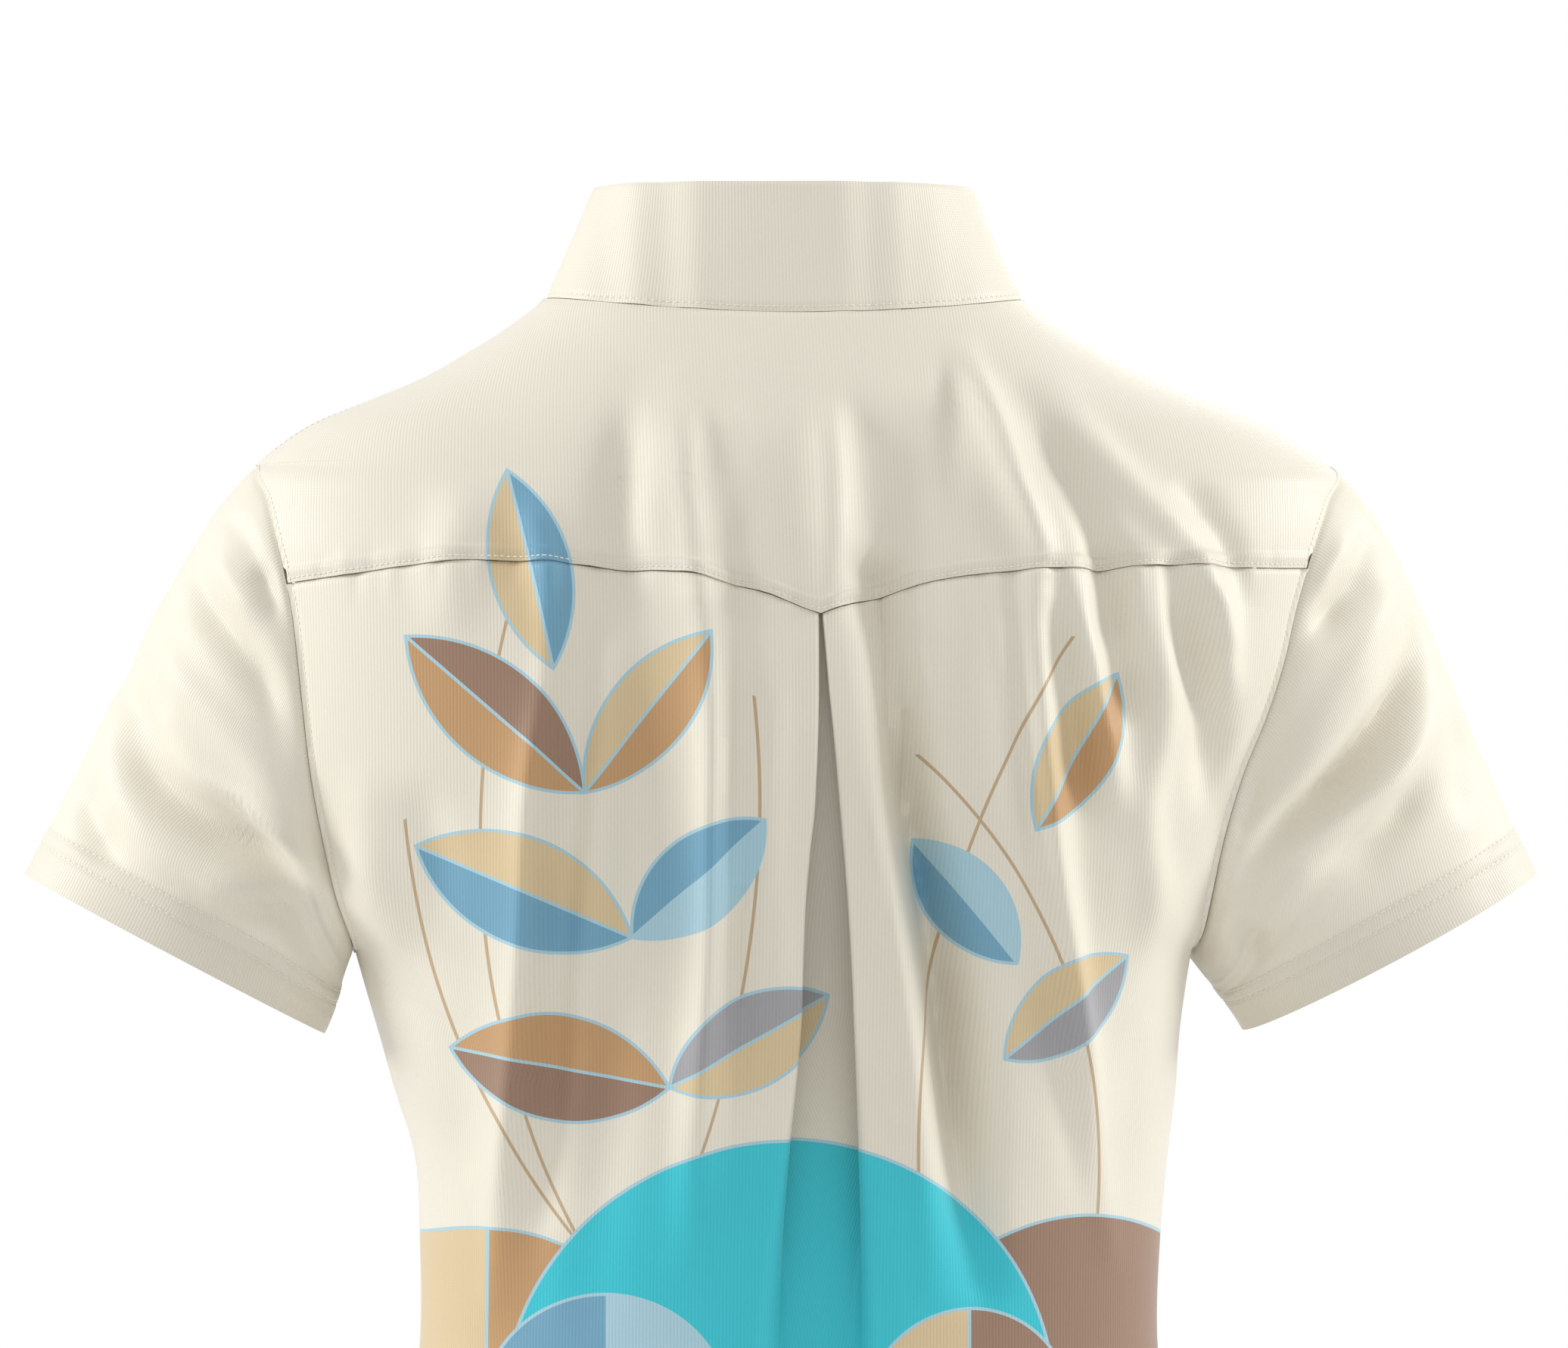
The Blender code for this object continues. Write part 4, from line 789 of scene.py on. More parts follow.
def close_rows(count, fineness, head, foot, closeness):
    """Steps from 0 to count, closer together over the first and the last of them."""
    plain = np.linspace(0, count, count * fineness + 1)
    top = np.linspace(0, head, round(head * fineness * closeness) + 1)
    low = np.linspace(count - foot, count, round(foot * fineness * closeness) + 1)
    middle = plain[(plain > head + TOO_NEAR) & (plain < count - foot - TOO_NEAR)]
    return np.concatenate([top, middle, low])


def crowded(count):
    """Shares from 0 to 1, closer together towards 1."""
    steps = np.linspace(0, 1, count + 1)
    return (1 - EDGE_CROWDING) * steps + EDGE_CROWDING * np.sin(steps * math.pi / 2)


def armhole_seam(side):
    """The angle on the armhole where the yoke ends and the back starts."""
    name = "left" if side > 0 else "right"
    return float(armhole_angle(read(YOKE_SEAM, "share", name, 1.0)))


def seam_level(share, side):
    """Height of the yoke's lower seam at a share of the way from its point to the armhole."""
    return read(YOKE_SEAM, "share", "left" if side > 0 else "right", share)


def shoulder_level(step):
    """Height of the shoulder seam at a step of the way from the neck to the armhole."""
    share = widening(step / SHOULDER_STEPS, SHOULDER_WIDENING)
    return NECK_LEVEL + (ARMHOLE_TOP - NECK_LEVEL) * share


def side_level(step):
    """Height of the side seam at a step of the way from the armpit to the hem."""
    share = widening(step / BODY_STEPS, BODY_WIDENING)
    return ARMHOLE_BOTTOM + (HEM_LEVEL - ARMHOLE_BOTTOM) * share


def yoke_forward(level):
    """How far the yoke passes over the shoulder ridge at a level; nothing at the armhole."""
    return YOKE_FORWARD * np.clip((level - ARMHOLE_TOP) / YOKE_FORWARD_RUN, 0, 1)


def straight(keys, values, at):
    """Straight lines between values that change along their last axis with the keys."""
    keys = np.asarray(keys, dtype=float)
    piece = np.clip(np.searchsorted(keys, at, side="right") - 1, 0, len(keys) - 2)
    share = (at - keys[piece]) / (keys[piece + 1] - keys[piece])
    return values[..., piece] * (1 - share) + values[..., piece + 1] * share


def pleat_columns(level, side):
    """The pleat on one side, from its flap to its middle: (distance from its line, depth)."""
    left_edge = read(PLEAT, "level", "left_edge", level)
    right_edge = read(PLEAT, "level", "right_edge", level)
    edge = np.abs(left_edge if side > 0 else right_edge)
    middle = side * (left_edge + right_edge) / 2
    tuck = edge + read(PLEAT, "level", "tuck", level)
    room = read(PLEAT, "level", "room", level)
    soft = np.clip(read(PLEAT, "level", "softness", level), 0, 1)[:, None]
    fold = WALL + FOLD_GAP / 2 + FOLD_SPREAD * soft
    bulge = tuck + room * HIDDEN_FOLD_SWELL
    stops = np.linspace(0, PLEAT_STOPS[-1], PLEAT_STOPS[-1] * PLEAT_FINENESS + 1)
    brim = edge + fold[:, 0]
    places = np.stack([PLEAT_ZONE + 0 * edge, bulge, tuck, brim, brim, tuck, tuck, middle], -1)
    turn = np.radians(np.interp(stops, PLEAT_TURNS, (0, *FOLD_ANGLES)))
    back = np.radians(np.interp(stops, PLEAT_BACK_TURNS, (0, 180)))
    room = room[:, None]
    across = straight(PLEAT_STOPS, places, stops) - fold * np.sin(turn) + room * np.sin(back)
    depth = fold * (1 - np.cos(turn)) + room * PLEAT_DEEPENING * (1 - np.cos(back))
    steps = stops / stops[-1]
    open_across = PLEAT_ZONE + (middle[:, None] - PLEAT_ZONE) * steps
    valley = read(PLEAT, "level", "valley", level)[:, None]
    dip = valley * ease((steps - VALLEY_START) / VALLEY_RUN)
    return np.stack([across * (1 - soft) + open_across * soft,
                     depth * (1 - soft) + dip * soft], axis=-1)


def lengths_along(points, axis):
    """Distance along the rows or columns of a grid of points, from its first."""
    steps = np.linalg.norm(np.diff(points, axis=axis), axis=-1)
    zero = np.zeros_like(np.take(steps, [0], axis=axis))
    return np.cumsum(np.concatenate([zero, steps], axis=axis), axis=axis)


def joined(first, second):
    """The grids of two halves that each start at the middle, side by side."""
    return [np.concatenate([a[:, ::-1], b[:, 1:]], axis=1) for a, b in zip(first, second)]


def yoke_grid():
    """The yoke's points: reach, level and lift, then how far each is from two of its edges."""
    count = SHOULDER_STEPS + YOKE_ARMHOLE_STEPS
    rows = close_rows(count, YOKE_FINENESS, *CLOSE_ENDS)
    halves = []
    for side in (1, -1):
        angle = armhole_seam(side) * np.clip(rows - SHOULDER_STEPS, 0, None) / YOKE_ARMHOLE_STEPS
        edge = np.where(rows <= SHOULDER_STEPS, shoulder_level(rows), armhole_level(angle))
        full = reach_to_edge(edge, side, True) + yoke_forward(edge) - SEAM_GAP / 2
        start = side * PLEAT_LINE
        reach = start + (full - start)[:, None] * crowded(YOKE_COLUMNS)
        share = np.clip((reach - start) / (full - start)[:, None], 0, 1)
        down = (rows / count)[:, None] ** YOKE_ROW_POWER
        seam = seam_level(share, side) + SEAM_GAP / 2
        centre = NECK_LEVEL + (seam - NECK_LEVEL) * down
        level = centre + (edge[:, None] - centre) * ease(share)
        last = seam + (edge[-1] - seam) * ease(share)
        level = level + (seam - last) * down ** 2
        above_seam, to_edge = level - seam, full[:, None] - reach
        lift = yoke_lift(reach, above_seam, to_edge, NECK_LEVEL - level, side)
        halves.append((side * reach, level, lift, above_seam, to_edge))
    return joined(*halves)


def yoke_lift(reach, above_seam, to_armhole, below_neck, side):
    """The yoke's fine relief: a doubled band over its lower seam, and rows sunk by stitches."""
    rows = SEAM_DENT * groove(above_seam - YOKE_STITCH_UP, NARROW_DENT_WIDTH)
    rolls = SEAM_ROLL * (groove(above_seam, *YOKE_SEAM_ROLL) + groove(to_armhole, ROLL_WIDTH)
                         + groove(below_neck, ROLL_WIDTH))
    return (YOKE_SEAM_LIFT * doubling(above_seam, *SEAM_FOLD) + rows + rolls
            + gathered(YOKE_PUCKERS[side], reach, above_seam))


def back_grid():
    """The back's points with the box pleat: reach, level, lift, distances to the armhole and
    along the cloth, and the cloth distances of the two halves.
    """
    count = BACK_ARMHOLE_STEPS + BODY_STEPS
    rows = close_rows(count, BACK_FINENESS, *CLOSE_ENDS)
    halves = []
    for side in (1, -1):
        seam = armhole_seam(side)
        angle = seam + (180 - seam) * np.clip(rows / BACK_ARMHOLE_STEPS, 0, 1)
        below = np.clip(rows - BACK_ARMHOLE_STEPS, 0, None)
        edge = np.where(rows <= BACK_ARMHOLE_STEPS, armhole_level(angle), side_level(below))
        plain = PLEAT_HEAD + (HEM_LEVEL - PLEAT_HEAD) * widening(rows / count, PLEAT_WIDENING)
        full = reach_to_edge(edge, side, True) - SEAM_GAP / 2
        pleat = pleat_columns(plain, side)
        line = side * PLEAT_LINE
        start = PLEAT_ZONE + line
        outer = start + (full - start)[:, None] * crowded(BACK_COLUMNS)[:0:-1]
        reach = np.concatenate([outer, line + pleat[..., 0]], axis=1)
        depth = np.concatenate([np.zeros(outer.shape), pleat[..., 1]], axis=1)
        share = np.clip((reach - line) / (full[:, None] - line), 0, 1)
        fade = 1 - ease(rows / SEAM_ROWS)[:, None]
        level = plain[:, None] + (edge - plain)[:, None] * ease(share)
        top = PLEAT_HEAD + (armhole_level(seam) - PLEAT_HEAD) * ease(share)
        level = level + (seam_level(share, side) - SEAM_GAP / 2 - top) * fade
        to_edge = full[:, None] - reach
        lift = back_lift(reach, seam_level(share, side) - level, to_edge, level, side,
                         edge[:, None])
        to_armhole = np.where(edge[:, None] > LOWEST_STITCH, to_edge, BEYOND)
        cloth = start - lengths_along(pleat, 1)
        cloth = np.concatenate([outer, cloth], axis=1)
        halves.append((side * reach, level, lift - depth, to_armhole, to_edge, side * cloth))
    left, right = halves
    grids = [np.concatenate([a, b[:, ::-1][:, 1:]], axis=1) for a, b in zip(left, right)]
    return grids[:5], left[5], right[5][:, ::-1]


def back_lift(reach, below_seam, to_edge, level, side, edge):
    """The back's fine relief: sunk under the yoke, dented at the armhole and the hem."""
    rolls = SEAM_ROLL * (groove(below_seam, *BACK_SEAM_ROLL) + groove(to_edge, ROLL_WIDTH))
    at_armhole = ease((edge - ARMHOLE_BOTTOM) / DENT_FADE)
    rows = SEAM_DENT * groove(to_edge - ARMHOLE_STITCH_IN) * at_armhole
    pucker = gathered(BACK_PUCKERS[side], reach, below_seam)
    return rolls + rows + pucker + hem_lift(level - HEM_LEVEL, BODY_HEM_ROWS)


def doubling(above_edge, depth, blur):
    """How much the cloth is doubled at a height above its edge: 1 up to the fold's depth."""
    return ease((depth + blur / 2 - above_edge) / blur)


def hem_lift(above_edge, rows):
    """The fine relief of a folded hem: doubled cloth, and two rows sunk by stitches."""
    dents = sum(groove(above_edge - row, NARROW_DENT_WIDTH) for row in rows)
    return HEM_LIFT * doubling(above_edge, *HEM_FOLD) + HEM_DENT * dents


def front_row_level(row, reach, side):
    """Height of the front's rows at a distance from their middle, and each row's edge."""
    armhole = 180 * np.clip((row - SHOULDER_STEPS) / FRONT_ARMHOLE_STEPS, 0, 1)
    below = np.clip(row - SHOULDER_STEPS - FRONT_ARMHOLE_STEPS, 0, None)
    edge = np.where(row <= SHOULDER_STEPS, shoulder_level(row),
                    np.where(below > 0, side_level(below), armhole_level(armhole)))
    count = SHOULDER_STEPS + FRONT_ARMHOLE_STEPS + BODY_STEPS
    middle = NECK_LEVEL + (HEM_LEVEL - NECK_LEVEL) * widening(row / count, FRONT_WIDENING)
    gap = np.where(row <= SHOULDER_STEPS, SHOULDER_GAP, SEAM_GAP / 2)
    full = reach_to_edge(edge, side, False) - yoke_forward(edge) - gap
    if reach is None:
        reach = OPENING_HALF_WIDTH + (full - OPENING_HALF_WIDTH)[:, None] * crowded(FRONT_COLUMNS)
        reach = np.concatenate([np.linspace(0, OPENING_HALF_WIDTH, OPENING_COLUMNS + 1)[None, :-1]
                                + 0 * full[:, None], reach], axis=1)
    level = middle[:, None] + (edge - middle)[:, None] * ease(reach / full[:, None])
    return reach, level, edge, full


def front_grid():
    """The front's points: reach, level and lift, and the distance to the armhole."""
    count = SHOULDER_STEPS + FRONT_ARMHOLE_STEPS + BODY_STEPS
    rows = close_rows(count, FRONT_FINENESS, *FRONT_CLOSE_ENDS)
    halves = []
    for side in (1, -1):
        reach, level, edge, full = front_row_level(rows, None, side)
        to_edge = full[:, None] - reach
        at_armhole = (ease((edge - ARMHOLE_BOTTOM) / DENT_FADE)
                      * ease((ARMHOLE_TOP + DENT_FADE - edge) / DENT_FADE))[:, None]
        lift = (SEAM_ROLL * (groove(to_edge, ROLL_WIDTH) + groove(NECK_LEVEL - level, ROLL_WIDTH))
                + SEAM_DENT * groove(to_edge - ARMHOLE_STITCH_IN) * at_armhole
                + hem_lift(level - HEM_LEVEL, BODY_HEM_ROWS))
        on_armhole = ((edge > LOWEST_STITCH) & (rows > SHOULDER_STEPS))[:, None]
        halves.append((side * reach, level, lift, np.where(on_armhole, to_edge, BEYOND),
                       to_edge))
    # Seen from the front, the wearer's left lies on the right, so the right half comes first.
    return joined(*halves[::-1])


def armhole_loop(side, angles):
    """Points of the armhole at angles from the shoulder, over the back and up the front."""
    height = armhole_level(angles)
    points = []
    for back in (True, False):
        out, across = edge_of(height, side, back)
        points.append(np.stack([side * (out + SLEEVE_CLEARANCE), across if back else -across,
                                height], axis=-1))
    return np.where((angles <= 180)[:, None], points[0], points[1])


def sleeve_base(side, share, angles):
    """The sleeve without folds: rows from the armhole to the hem."""
    loop = armhole_loop(side, angles)
    turn = np.radians(angles)
    tip = np.array([side * SLEEVE_TIP[0], -SLEEVE_HEM_FORWARD, SLEEVE_TIP[1]])
    inner = np.array([side * SLEEVE_INNER[0], -SLEEVE_HEM_FORWARD, SLEEVE_INNER[1]])
    centre = (tip + inner) / 2
    hem = centre + np.cos(turn)[:, None] * (tip - centre)
    hem[:, 1] += SLEEVE_HEM_HALF_DEPTH * np.sin(turn)
    across = centre - tip
    down = side * np.array([-across[2], 0, across[0]]) / np.linalg.norm(across)
    chord = np.linalg.norm(hem - loop, axis=1)[:, None]
    top = np.array([side * SLEEVE_TOP_WAY[0], 0, SLEEVE_TOP_WAY[1]])
    under = np.array([side * SLEEVE_UNDER_WAY[0], 0, SLEEVE_UNDER_WAY[1]])
    weight = ((1 + np.cos(turn)) / 2)[:, None]
    leave = top * weight + under * (1 - weight)
    leave = leave + np.array([0, SLEEVE_SWELL, 0]) * np.sin(turn)[:, None]
    leave = leave * chord * (SLEEVE_TOP_PUSH * weight + SLEEVE_UNDER_PUSH * (1 - weight))
    return cubic(share[:, None, None], loop, hem, leave, down * chord)


def ways_out(points, closed=False):
    """Unit vectors out of the cloth at each point of a grid seen from outside."""
    down = np.gradient(points, axis=0)
    along = np.gradient(points, axis=1)
    if closed:
        along = np.roll(points, -1, axis=1) - np.roll(points, 1, axis=1)
    way = np.cross(down, along)
    return way / np.maximum(np.linalg.norm(way, axis=-1, keepdims=True), TINY)


def from_middle(points, closed):
    """Unit vectors out of a grid of rows, away from the middle of each row."""
    way = ways_out(points, closed)
    away = (way * (points - points.mean(axis=1, keepdims=True))).sum(axis=-1, keepdims=True)
    return way * np.sign(away)


def sleeve_points(side, share, angles):
    """Points of the dressed sleeve at shares down and angles round, their distance down from
    the armhole, and their distance up from the hem.
    """
    points = sleeve_base(side, share, angles)
    normal = from_middle(points, True)
    folds = LEFT_SLEEVE_FOLDS if side > 0 else RIGHT_SLEEVE_FOLDS
    creases = LEFT_SLEEVE_CREASES if side > 0 else RIGHT_SLEEVE_CREASES
    strength = shirt().cloth.crease_strength
    height = np.zeros(points.shape[:2])
    for fold, much in [(f, 1.0) for f in folds] + [(f, strength) for f in creases]:
        path = np.array([sleeve_base(side, np.array([along]), np.array([angle % 360.0]))[0, 0]
                         for along, angle in by_twos(fold.path)])
        height += fold_height(points, path, fold) * much
    height *= ease(share / SLEEVE_FOLD_FADE)[:, None]
    down = lengths_along(points, 0)
    height += SEAM_ROLL * groove(down, SLEEVE_ROLL_WIDTH)
    height += hem_lift(down[-1:] - down, SLEEVE_HEM_ROWS)
    return points + normal * height[..., None], down, down[-1:] - down


def neck_loop(front_columns, back_columns):
    """The neck seam from the opening's right end, round the back, to its left end."""
    level = np.full(2, NECK_LEVEL)
    back_reach = [reach_to_edge(level, side, True)[0] for side in (-1, 1)]
    front_reach = [reach_to_edge(level, side, False)[0] for side in (-1, 1)]
    right = np.linspace(COLLAR_OPENING_FOOT, front_reach[0], front_columns + 1)[:-1]
    left = np.linspace(front_reach[1], COLLAR_OPENING_FOOT, front_columns + 1)[1:]
    round_back = np.linspace(-back_reach[0], back_reach[1], back_columns + 1)
    return np.concatenate([
        on_body(-right, NECK_LEVEL, False),
        on_body(round_back, NECK_LEVEL, True),
        on_body(left, NECK_LEVEL, False),
    ])


def collar_rim(front_columns, back_columns):
    """The collar's top edge, with a point for each point of the neck seam."""
    parting = math.asin(COLLAR_OPENING_TOP / COLLAR_TOP.half_width)
    front = np.linspace(parting, math.pi / 2, front_columns + 1)[:-1]
    back = np.linspace(-math.pi / 2, math.pi / 2, back_columns + 1)
    turns = np.concatenate([-front, back, front[::-1]])
    at_back = np.zeros(len(turns), dtype=bool)
    at_back[front_columns:-front_columns] = True
    x = COLLAR_TOP.lean + COLLAR_TOP.half_width * np.sin(turns)
    y = np.where(at_back, COLLAR_TOP.back, -COLLAR_TOP.front) * np.cos(turns)
    drop = COLLAR_TOP.height - COLLAR_TOP.front_height
    z = COLLAR_TOP.height - np.where(at_back, 0.0, drop) * np.cos(turns) ** 2
    return np.stack([x, y, z], axis=-1)


def collar_points(rows):
    """Points of the collar from its top edge down, at shares of its height, and how far above
    its foot each one is.
    """
    rim = collar_rim(COLLAR_FRONT_COLUMNS, COLLAR_BACK_COLUMNS)[::-1]
    foot = neck_loop(COLLAR_FRONT_COLUMNS, COLLAR_BACK_COLUMNS)[::-1]
    foot = foot + (rim - foot) * SEAM_GAP / COLLAR_TOP.height
    outwards = foot * np.array([1, 1, 0])
    outwards = outwards / np.linalg.norm(outwards, axis=1, keepdims=True)
    up = rows[:, None, None]
    points = foot + (rim - foot) * up - outwards * COLLAR_HOLLOW * 4 * up * (1 - up)
    normal = from_middle(points, False)
    height = sum(
        band.height * np.exp(-((points[..., 0] - band.at) / band.width) ** 2)
        * (band.foot + (band.top - band.foot) * up[..., 0])
        for band in COLLAR_BANDS)
    height = height * ease((points[..., 1] - COLLAR_BANDS_FROM) / COLLAR_BANDS_RUN)
    above = np.linalg.norm(points - points[-1:], axis=-1)
    below = np.linalg.norm(points - points[:1], axis=-1)
    height = height + SEAM_DENT * groove(above - COLLAR_STITCH_UP)
    height = height + SEAM_ROLL * (groove(above, *COLLAR_FOOT_ROLL)
                                   + groove(below, *COLLAR_TOP_ROLL))
    return points + normal * height[..., None], above


def length_setting(name, description, default, low, high, precision=5):
    """A length in metres that a user can set."""
    return FloatProperty(name=name, description=description, default=default, min=low, max=high,
                         subtype="DISTANCE", unit="LENGTH", precision=precision)


def share_setting(name, description, default, high):
    """A share that a user can set."""
    return FloatProperty(name=name, description=description, default=default, min=0.0, max=high,
                         subtype="FACTOR")


def amount_setting(name, description, default, high):
    """A strength that a user can set."""
    return FloatProperty(name=name, description=description, default=default, min=0.0, max=high)


def colour_setting(name, description, default):
    """A colour that a user can set."""
    return FloatVectorProperty(name=name, description=description, default=default, min=0.0,
                               max=1.0, size=3, subtype="COLOR")


class ClothSettings(bpy.types.PropertyGroup):
    """Sizes and colours of the knitted cloth."""
    rib_width: length_setting("Rib width", "Distance from one knitted rib to the next",
                              0.0013, 0.0004, 0.01)
    rib_depth: length_setting("Rib depth", "How far the ribs stand out of the knit",
                              0.00009, 0.0, 0.002, 6)
    crease_strength: share_setting("Crease strength", "How deep the small creases are", 1.0, 3.0)
    colour: colour_setting("Cloth colour", "Colour of the knit", (0.739, 0.696, 0.588))
    sheen: share_setting("Sheen", "How much the cloth's fibres shine at a glancing angle", 0.25, 1.0)


class PrintSettings(bpy.types.PropertyGroup):
    """Colours of the leaf print on the back."""
    brown: colour_setting("Brown", "Darkest tone of the print", (0.302, 0.189, 0.13))
    camel: colour_setting("Camel", "Warm middle tone", (0.504, 0.302, 0.143))
    tan: colour_setting("Tan", "Warm light tone", (0.638, 0.504, 0.302))
    blue: colour_setting("Blue", "Sky blue", (0.16, 0.353, 0.487))
    aqua: colour_setting("Aqua", "Pale blue, also of the outlines", (0.37, 0.571, 0.655))
    cyan: colour_setting("Cyan", "Brightest tone", (0.038, 0.521, 0.605))
    grey: colour_setting("Grey", "Cool middle tone", (0.336, 0.336, 0.353))
    stem: colour_setting("Stem", "Tone of the thin stems", (0.504, 0.37, 0.227))
    line_width: length_setting("Line width", "Width of the outlines and stems", 0.0012, 0.0002, 0.01)


class SewingSettings(bpy.types.PropertyGroup):
    """Sizes and colour of the thread."""
    seam_pitch: length_setting("Seam stitch", "Length of a stitch along a seam", 0.0024, 0.001, 0.01)
    hem_pitch: length_setting("Hem stitch", "Length of a stitch along a hem", 0.0029, 0.001, 0.01)
    thread: length_setting("Thread", "Thickness of the thread", 0.0005, 0.0001, 0.002, 6)
    colour: colour_setting("Thread colour", "Colour of the thread", (0.798, 0.773, 0.689))


class ButtonSettings(bpy.types.PropertyGroup):
    """Sizes and colour of the front buttons."""
    rim: length_setting("Rim", "Width of the raised rim", 0.0011, 0.0003, 0.003)
    hole: length_setting("Hole", "Diameter of each of the four holes", 0.0015, 0.0005, 0.003)
    spacing: length_setting("Hole spacing", "Distance between neighbouring holes", 0.0026, 0.001, 0.006)
    colour: colour_setting("Button colour", "Colour of the resin", (0.672, 0.63, 0.529))


class StageSettings(bpy.types.PropertyGroup):
    """The floor, the lights and the camera."""
    floor_colour: colour_setting("Floor colour", "Colour of the studio floor", (0.722, 0.722, 0.722))
    side_light: amount_setting("Side lights", "Power of the two lights at the sides, in watts",
                               23.0, 500.0)
    front_light: amount_setting(
        "Front light", "Power of the light on the side away from the camera", 9.0, 500.0)
    fill: amount_setting("Fill", "Strength of the light from all round", 0.83, 3.0)
    distance: length_setting("Camera distance", "Distance from the camera to the shirt",
                             3.2, 1.0, 20.0, 3)
    turn: FloatProperty(
        name="Camera turn", description="How far the camera stands round from straight behind",
        default=math.radians(5), min=-math.pi, max=math.pi, subtype="ANGLE", unit="ROTATION")


class ShirtSettings(bpy.types.PropertyGroup):
    """All the settings of the shirt."""
    cloth: PointerProperty(type=ClothSettings)
    print: PointerProperty(type=PrintSettings)
    sewing: PointerProperty(type=SewingSettings)
    button: PointerProperty(type=ButtonSettings)
    stage: PointerProperty(type=StageSettings)


def shirt():
    """The shirt's settings in this scene."""
    return bpy.context.scene.golf_shirt


def put(tree, socket, value):
    """Sets an input to a value, or links it to another node's output."""
    if isinstance(value, bpy.types.NodeSocket):
        tree.links.new(value, socket)
    elif hasattr(value, "__len__") and socket.type == "RGBA":
        socket.default_value = (*value, 1.0)[:4]
    else:
        socket.default_value = value


def math_node(tree, operation, *values, clamp=False):
    """A Math node of values or sockets."""
    node = tree.nodes.new("ShaderNodeMath")
    node.operation = operation
    node.use_clamp = clamp
    for socket, value in zip(node.inputs, values):
        put(tree, socket, value)
    return node.outputs[0]


def vector_node(tree, operation, *values):
    """A Vector Math node; its number comes out of DISTANCE and DOT_PRODUCT, else its vector."""
    node = tree.nodes.new("ShaderNodeVectorMath")
    node.operation = operation
    for socket, value in zip(node.inputs, values):
        put(tree, socket, value)
    return node.outputs["Value" if operation in ("DISTANCE", "DOT_PRODUCT") else "Vector"]


def mix_node(tree, share, under, over, blend="MIX"):
    """A colour mixed between two by a share."""
    node = tree.nodes.new("ShaderNodeMix")
    node.data_type = "RGBA"
    node.blend_type = blend
    put(tree, node.inputs["Factor"], share)
    put(tree, node.inputs[6], under)
    put(tree, node.inputs[7], over)
    return node.outputs[2]


def noise_node(tree, vector, scale, detail=2.0):
    """A noise value."""
    node = tree.nodes.new("ShaderNodeTexNoise")
    fill_in(tree, node, Vector=vector, Scale=scale, Detail=detail)
    return node.outputs["Fac"]


def fill_in(tree, node, **values):
    """Sets a node's inputs, named with _ for a space, to values or to other nodes' outputs."""
    for name, value in values.items():
        put(tree, node.inputs[name.replace("_", " ")], value)


def raise_by(tree, shader, height, distance, strength=1.0):
    """Raises the surface by a height, without moving its points."""
    bump = tree.nodes.new("ShaderNodeBump")
    fill_in(tree, bump, Strength=strength, Distance=distance, Height=height)
    fill_in(tree, shader, Normal=bump.outputs["Normal"])


def shaded(tree, colour, shade):
    """A colour multiplied by a shade."""
    grey = tree.nodes.new("ShaderNodeCombineColor")
    fill_in(tree, grey, Red=shade, Green=shade, Blue=shade)
    return mix_node(tree, 1.0, colour, grey.outputs[0], "MULTIPLY")


def object_place(tree):
    """The place on the object, in metres."""
    return tree.nodes.new("ShaderNodeTexCoord").outputs["Object"]


def new_material(name, colour, roughness):
    """A material with a plain Principled shader, and its tree and shader."""
    material = bpy.data.materials.new(name)
    material.use_nodes = True
    tree = material.node_tree
    shader = tree.nodes["Principled BSDF"]
    fill_in(tree, shader, Base_Color=colour, Roughness=roughness)
    return material, tree, shader


def soft_step(tree, distance, blur=0.12):
    """1 inside a signed distance in millimetres and 0 outside it, with a thin soft edge."""
    return math_node(tree, "MULTIPLY_ADD", distance, -1 / blur, 0.5, clamp=True)


def laying_group(name, vectors, numbers, colours):
    """A node group that lays a motif over a colour, and what comes into it."""
    group = bpy.data.node_groups.new(name, "ShaderNodeTree")
    for kind, names in (("Vector", vectors), ("Float", numbers), ("Color", colours)):
        for socket in names:
            group.interface.new_socket(socket, in_out="INPUT", socket_type=f"NodeSocket{kind}")
    group.interface.new_socket("Colour", in_out="OUTPUT", socket_type="NodeSocketColor")
    return group, group.nodes.new("NodeGroupInput").outputs


def come_out(group, colour):
    """Sends a colour out of a node group."""
    out = group.nodes.new("NodeGroupOutput")
    group.links.new(colour, out.inputs["Colour"])
    return group


def outside_disc(tree, place, centre, radius):
    """How far a place lies outside a disc; less than nothing inside it."""
    return math_node(tree, "SUBTRACT", vector_node(tree, "DISTANCE", place, centre), radius)


def off_line(tree, distance, half_line):
    """How far a place lies off a line, from its distance to the line's middle."""
    return math_node(tree, "SUBTRACT", math_node(tree, "ABSOLUTE", distance), half_line)


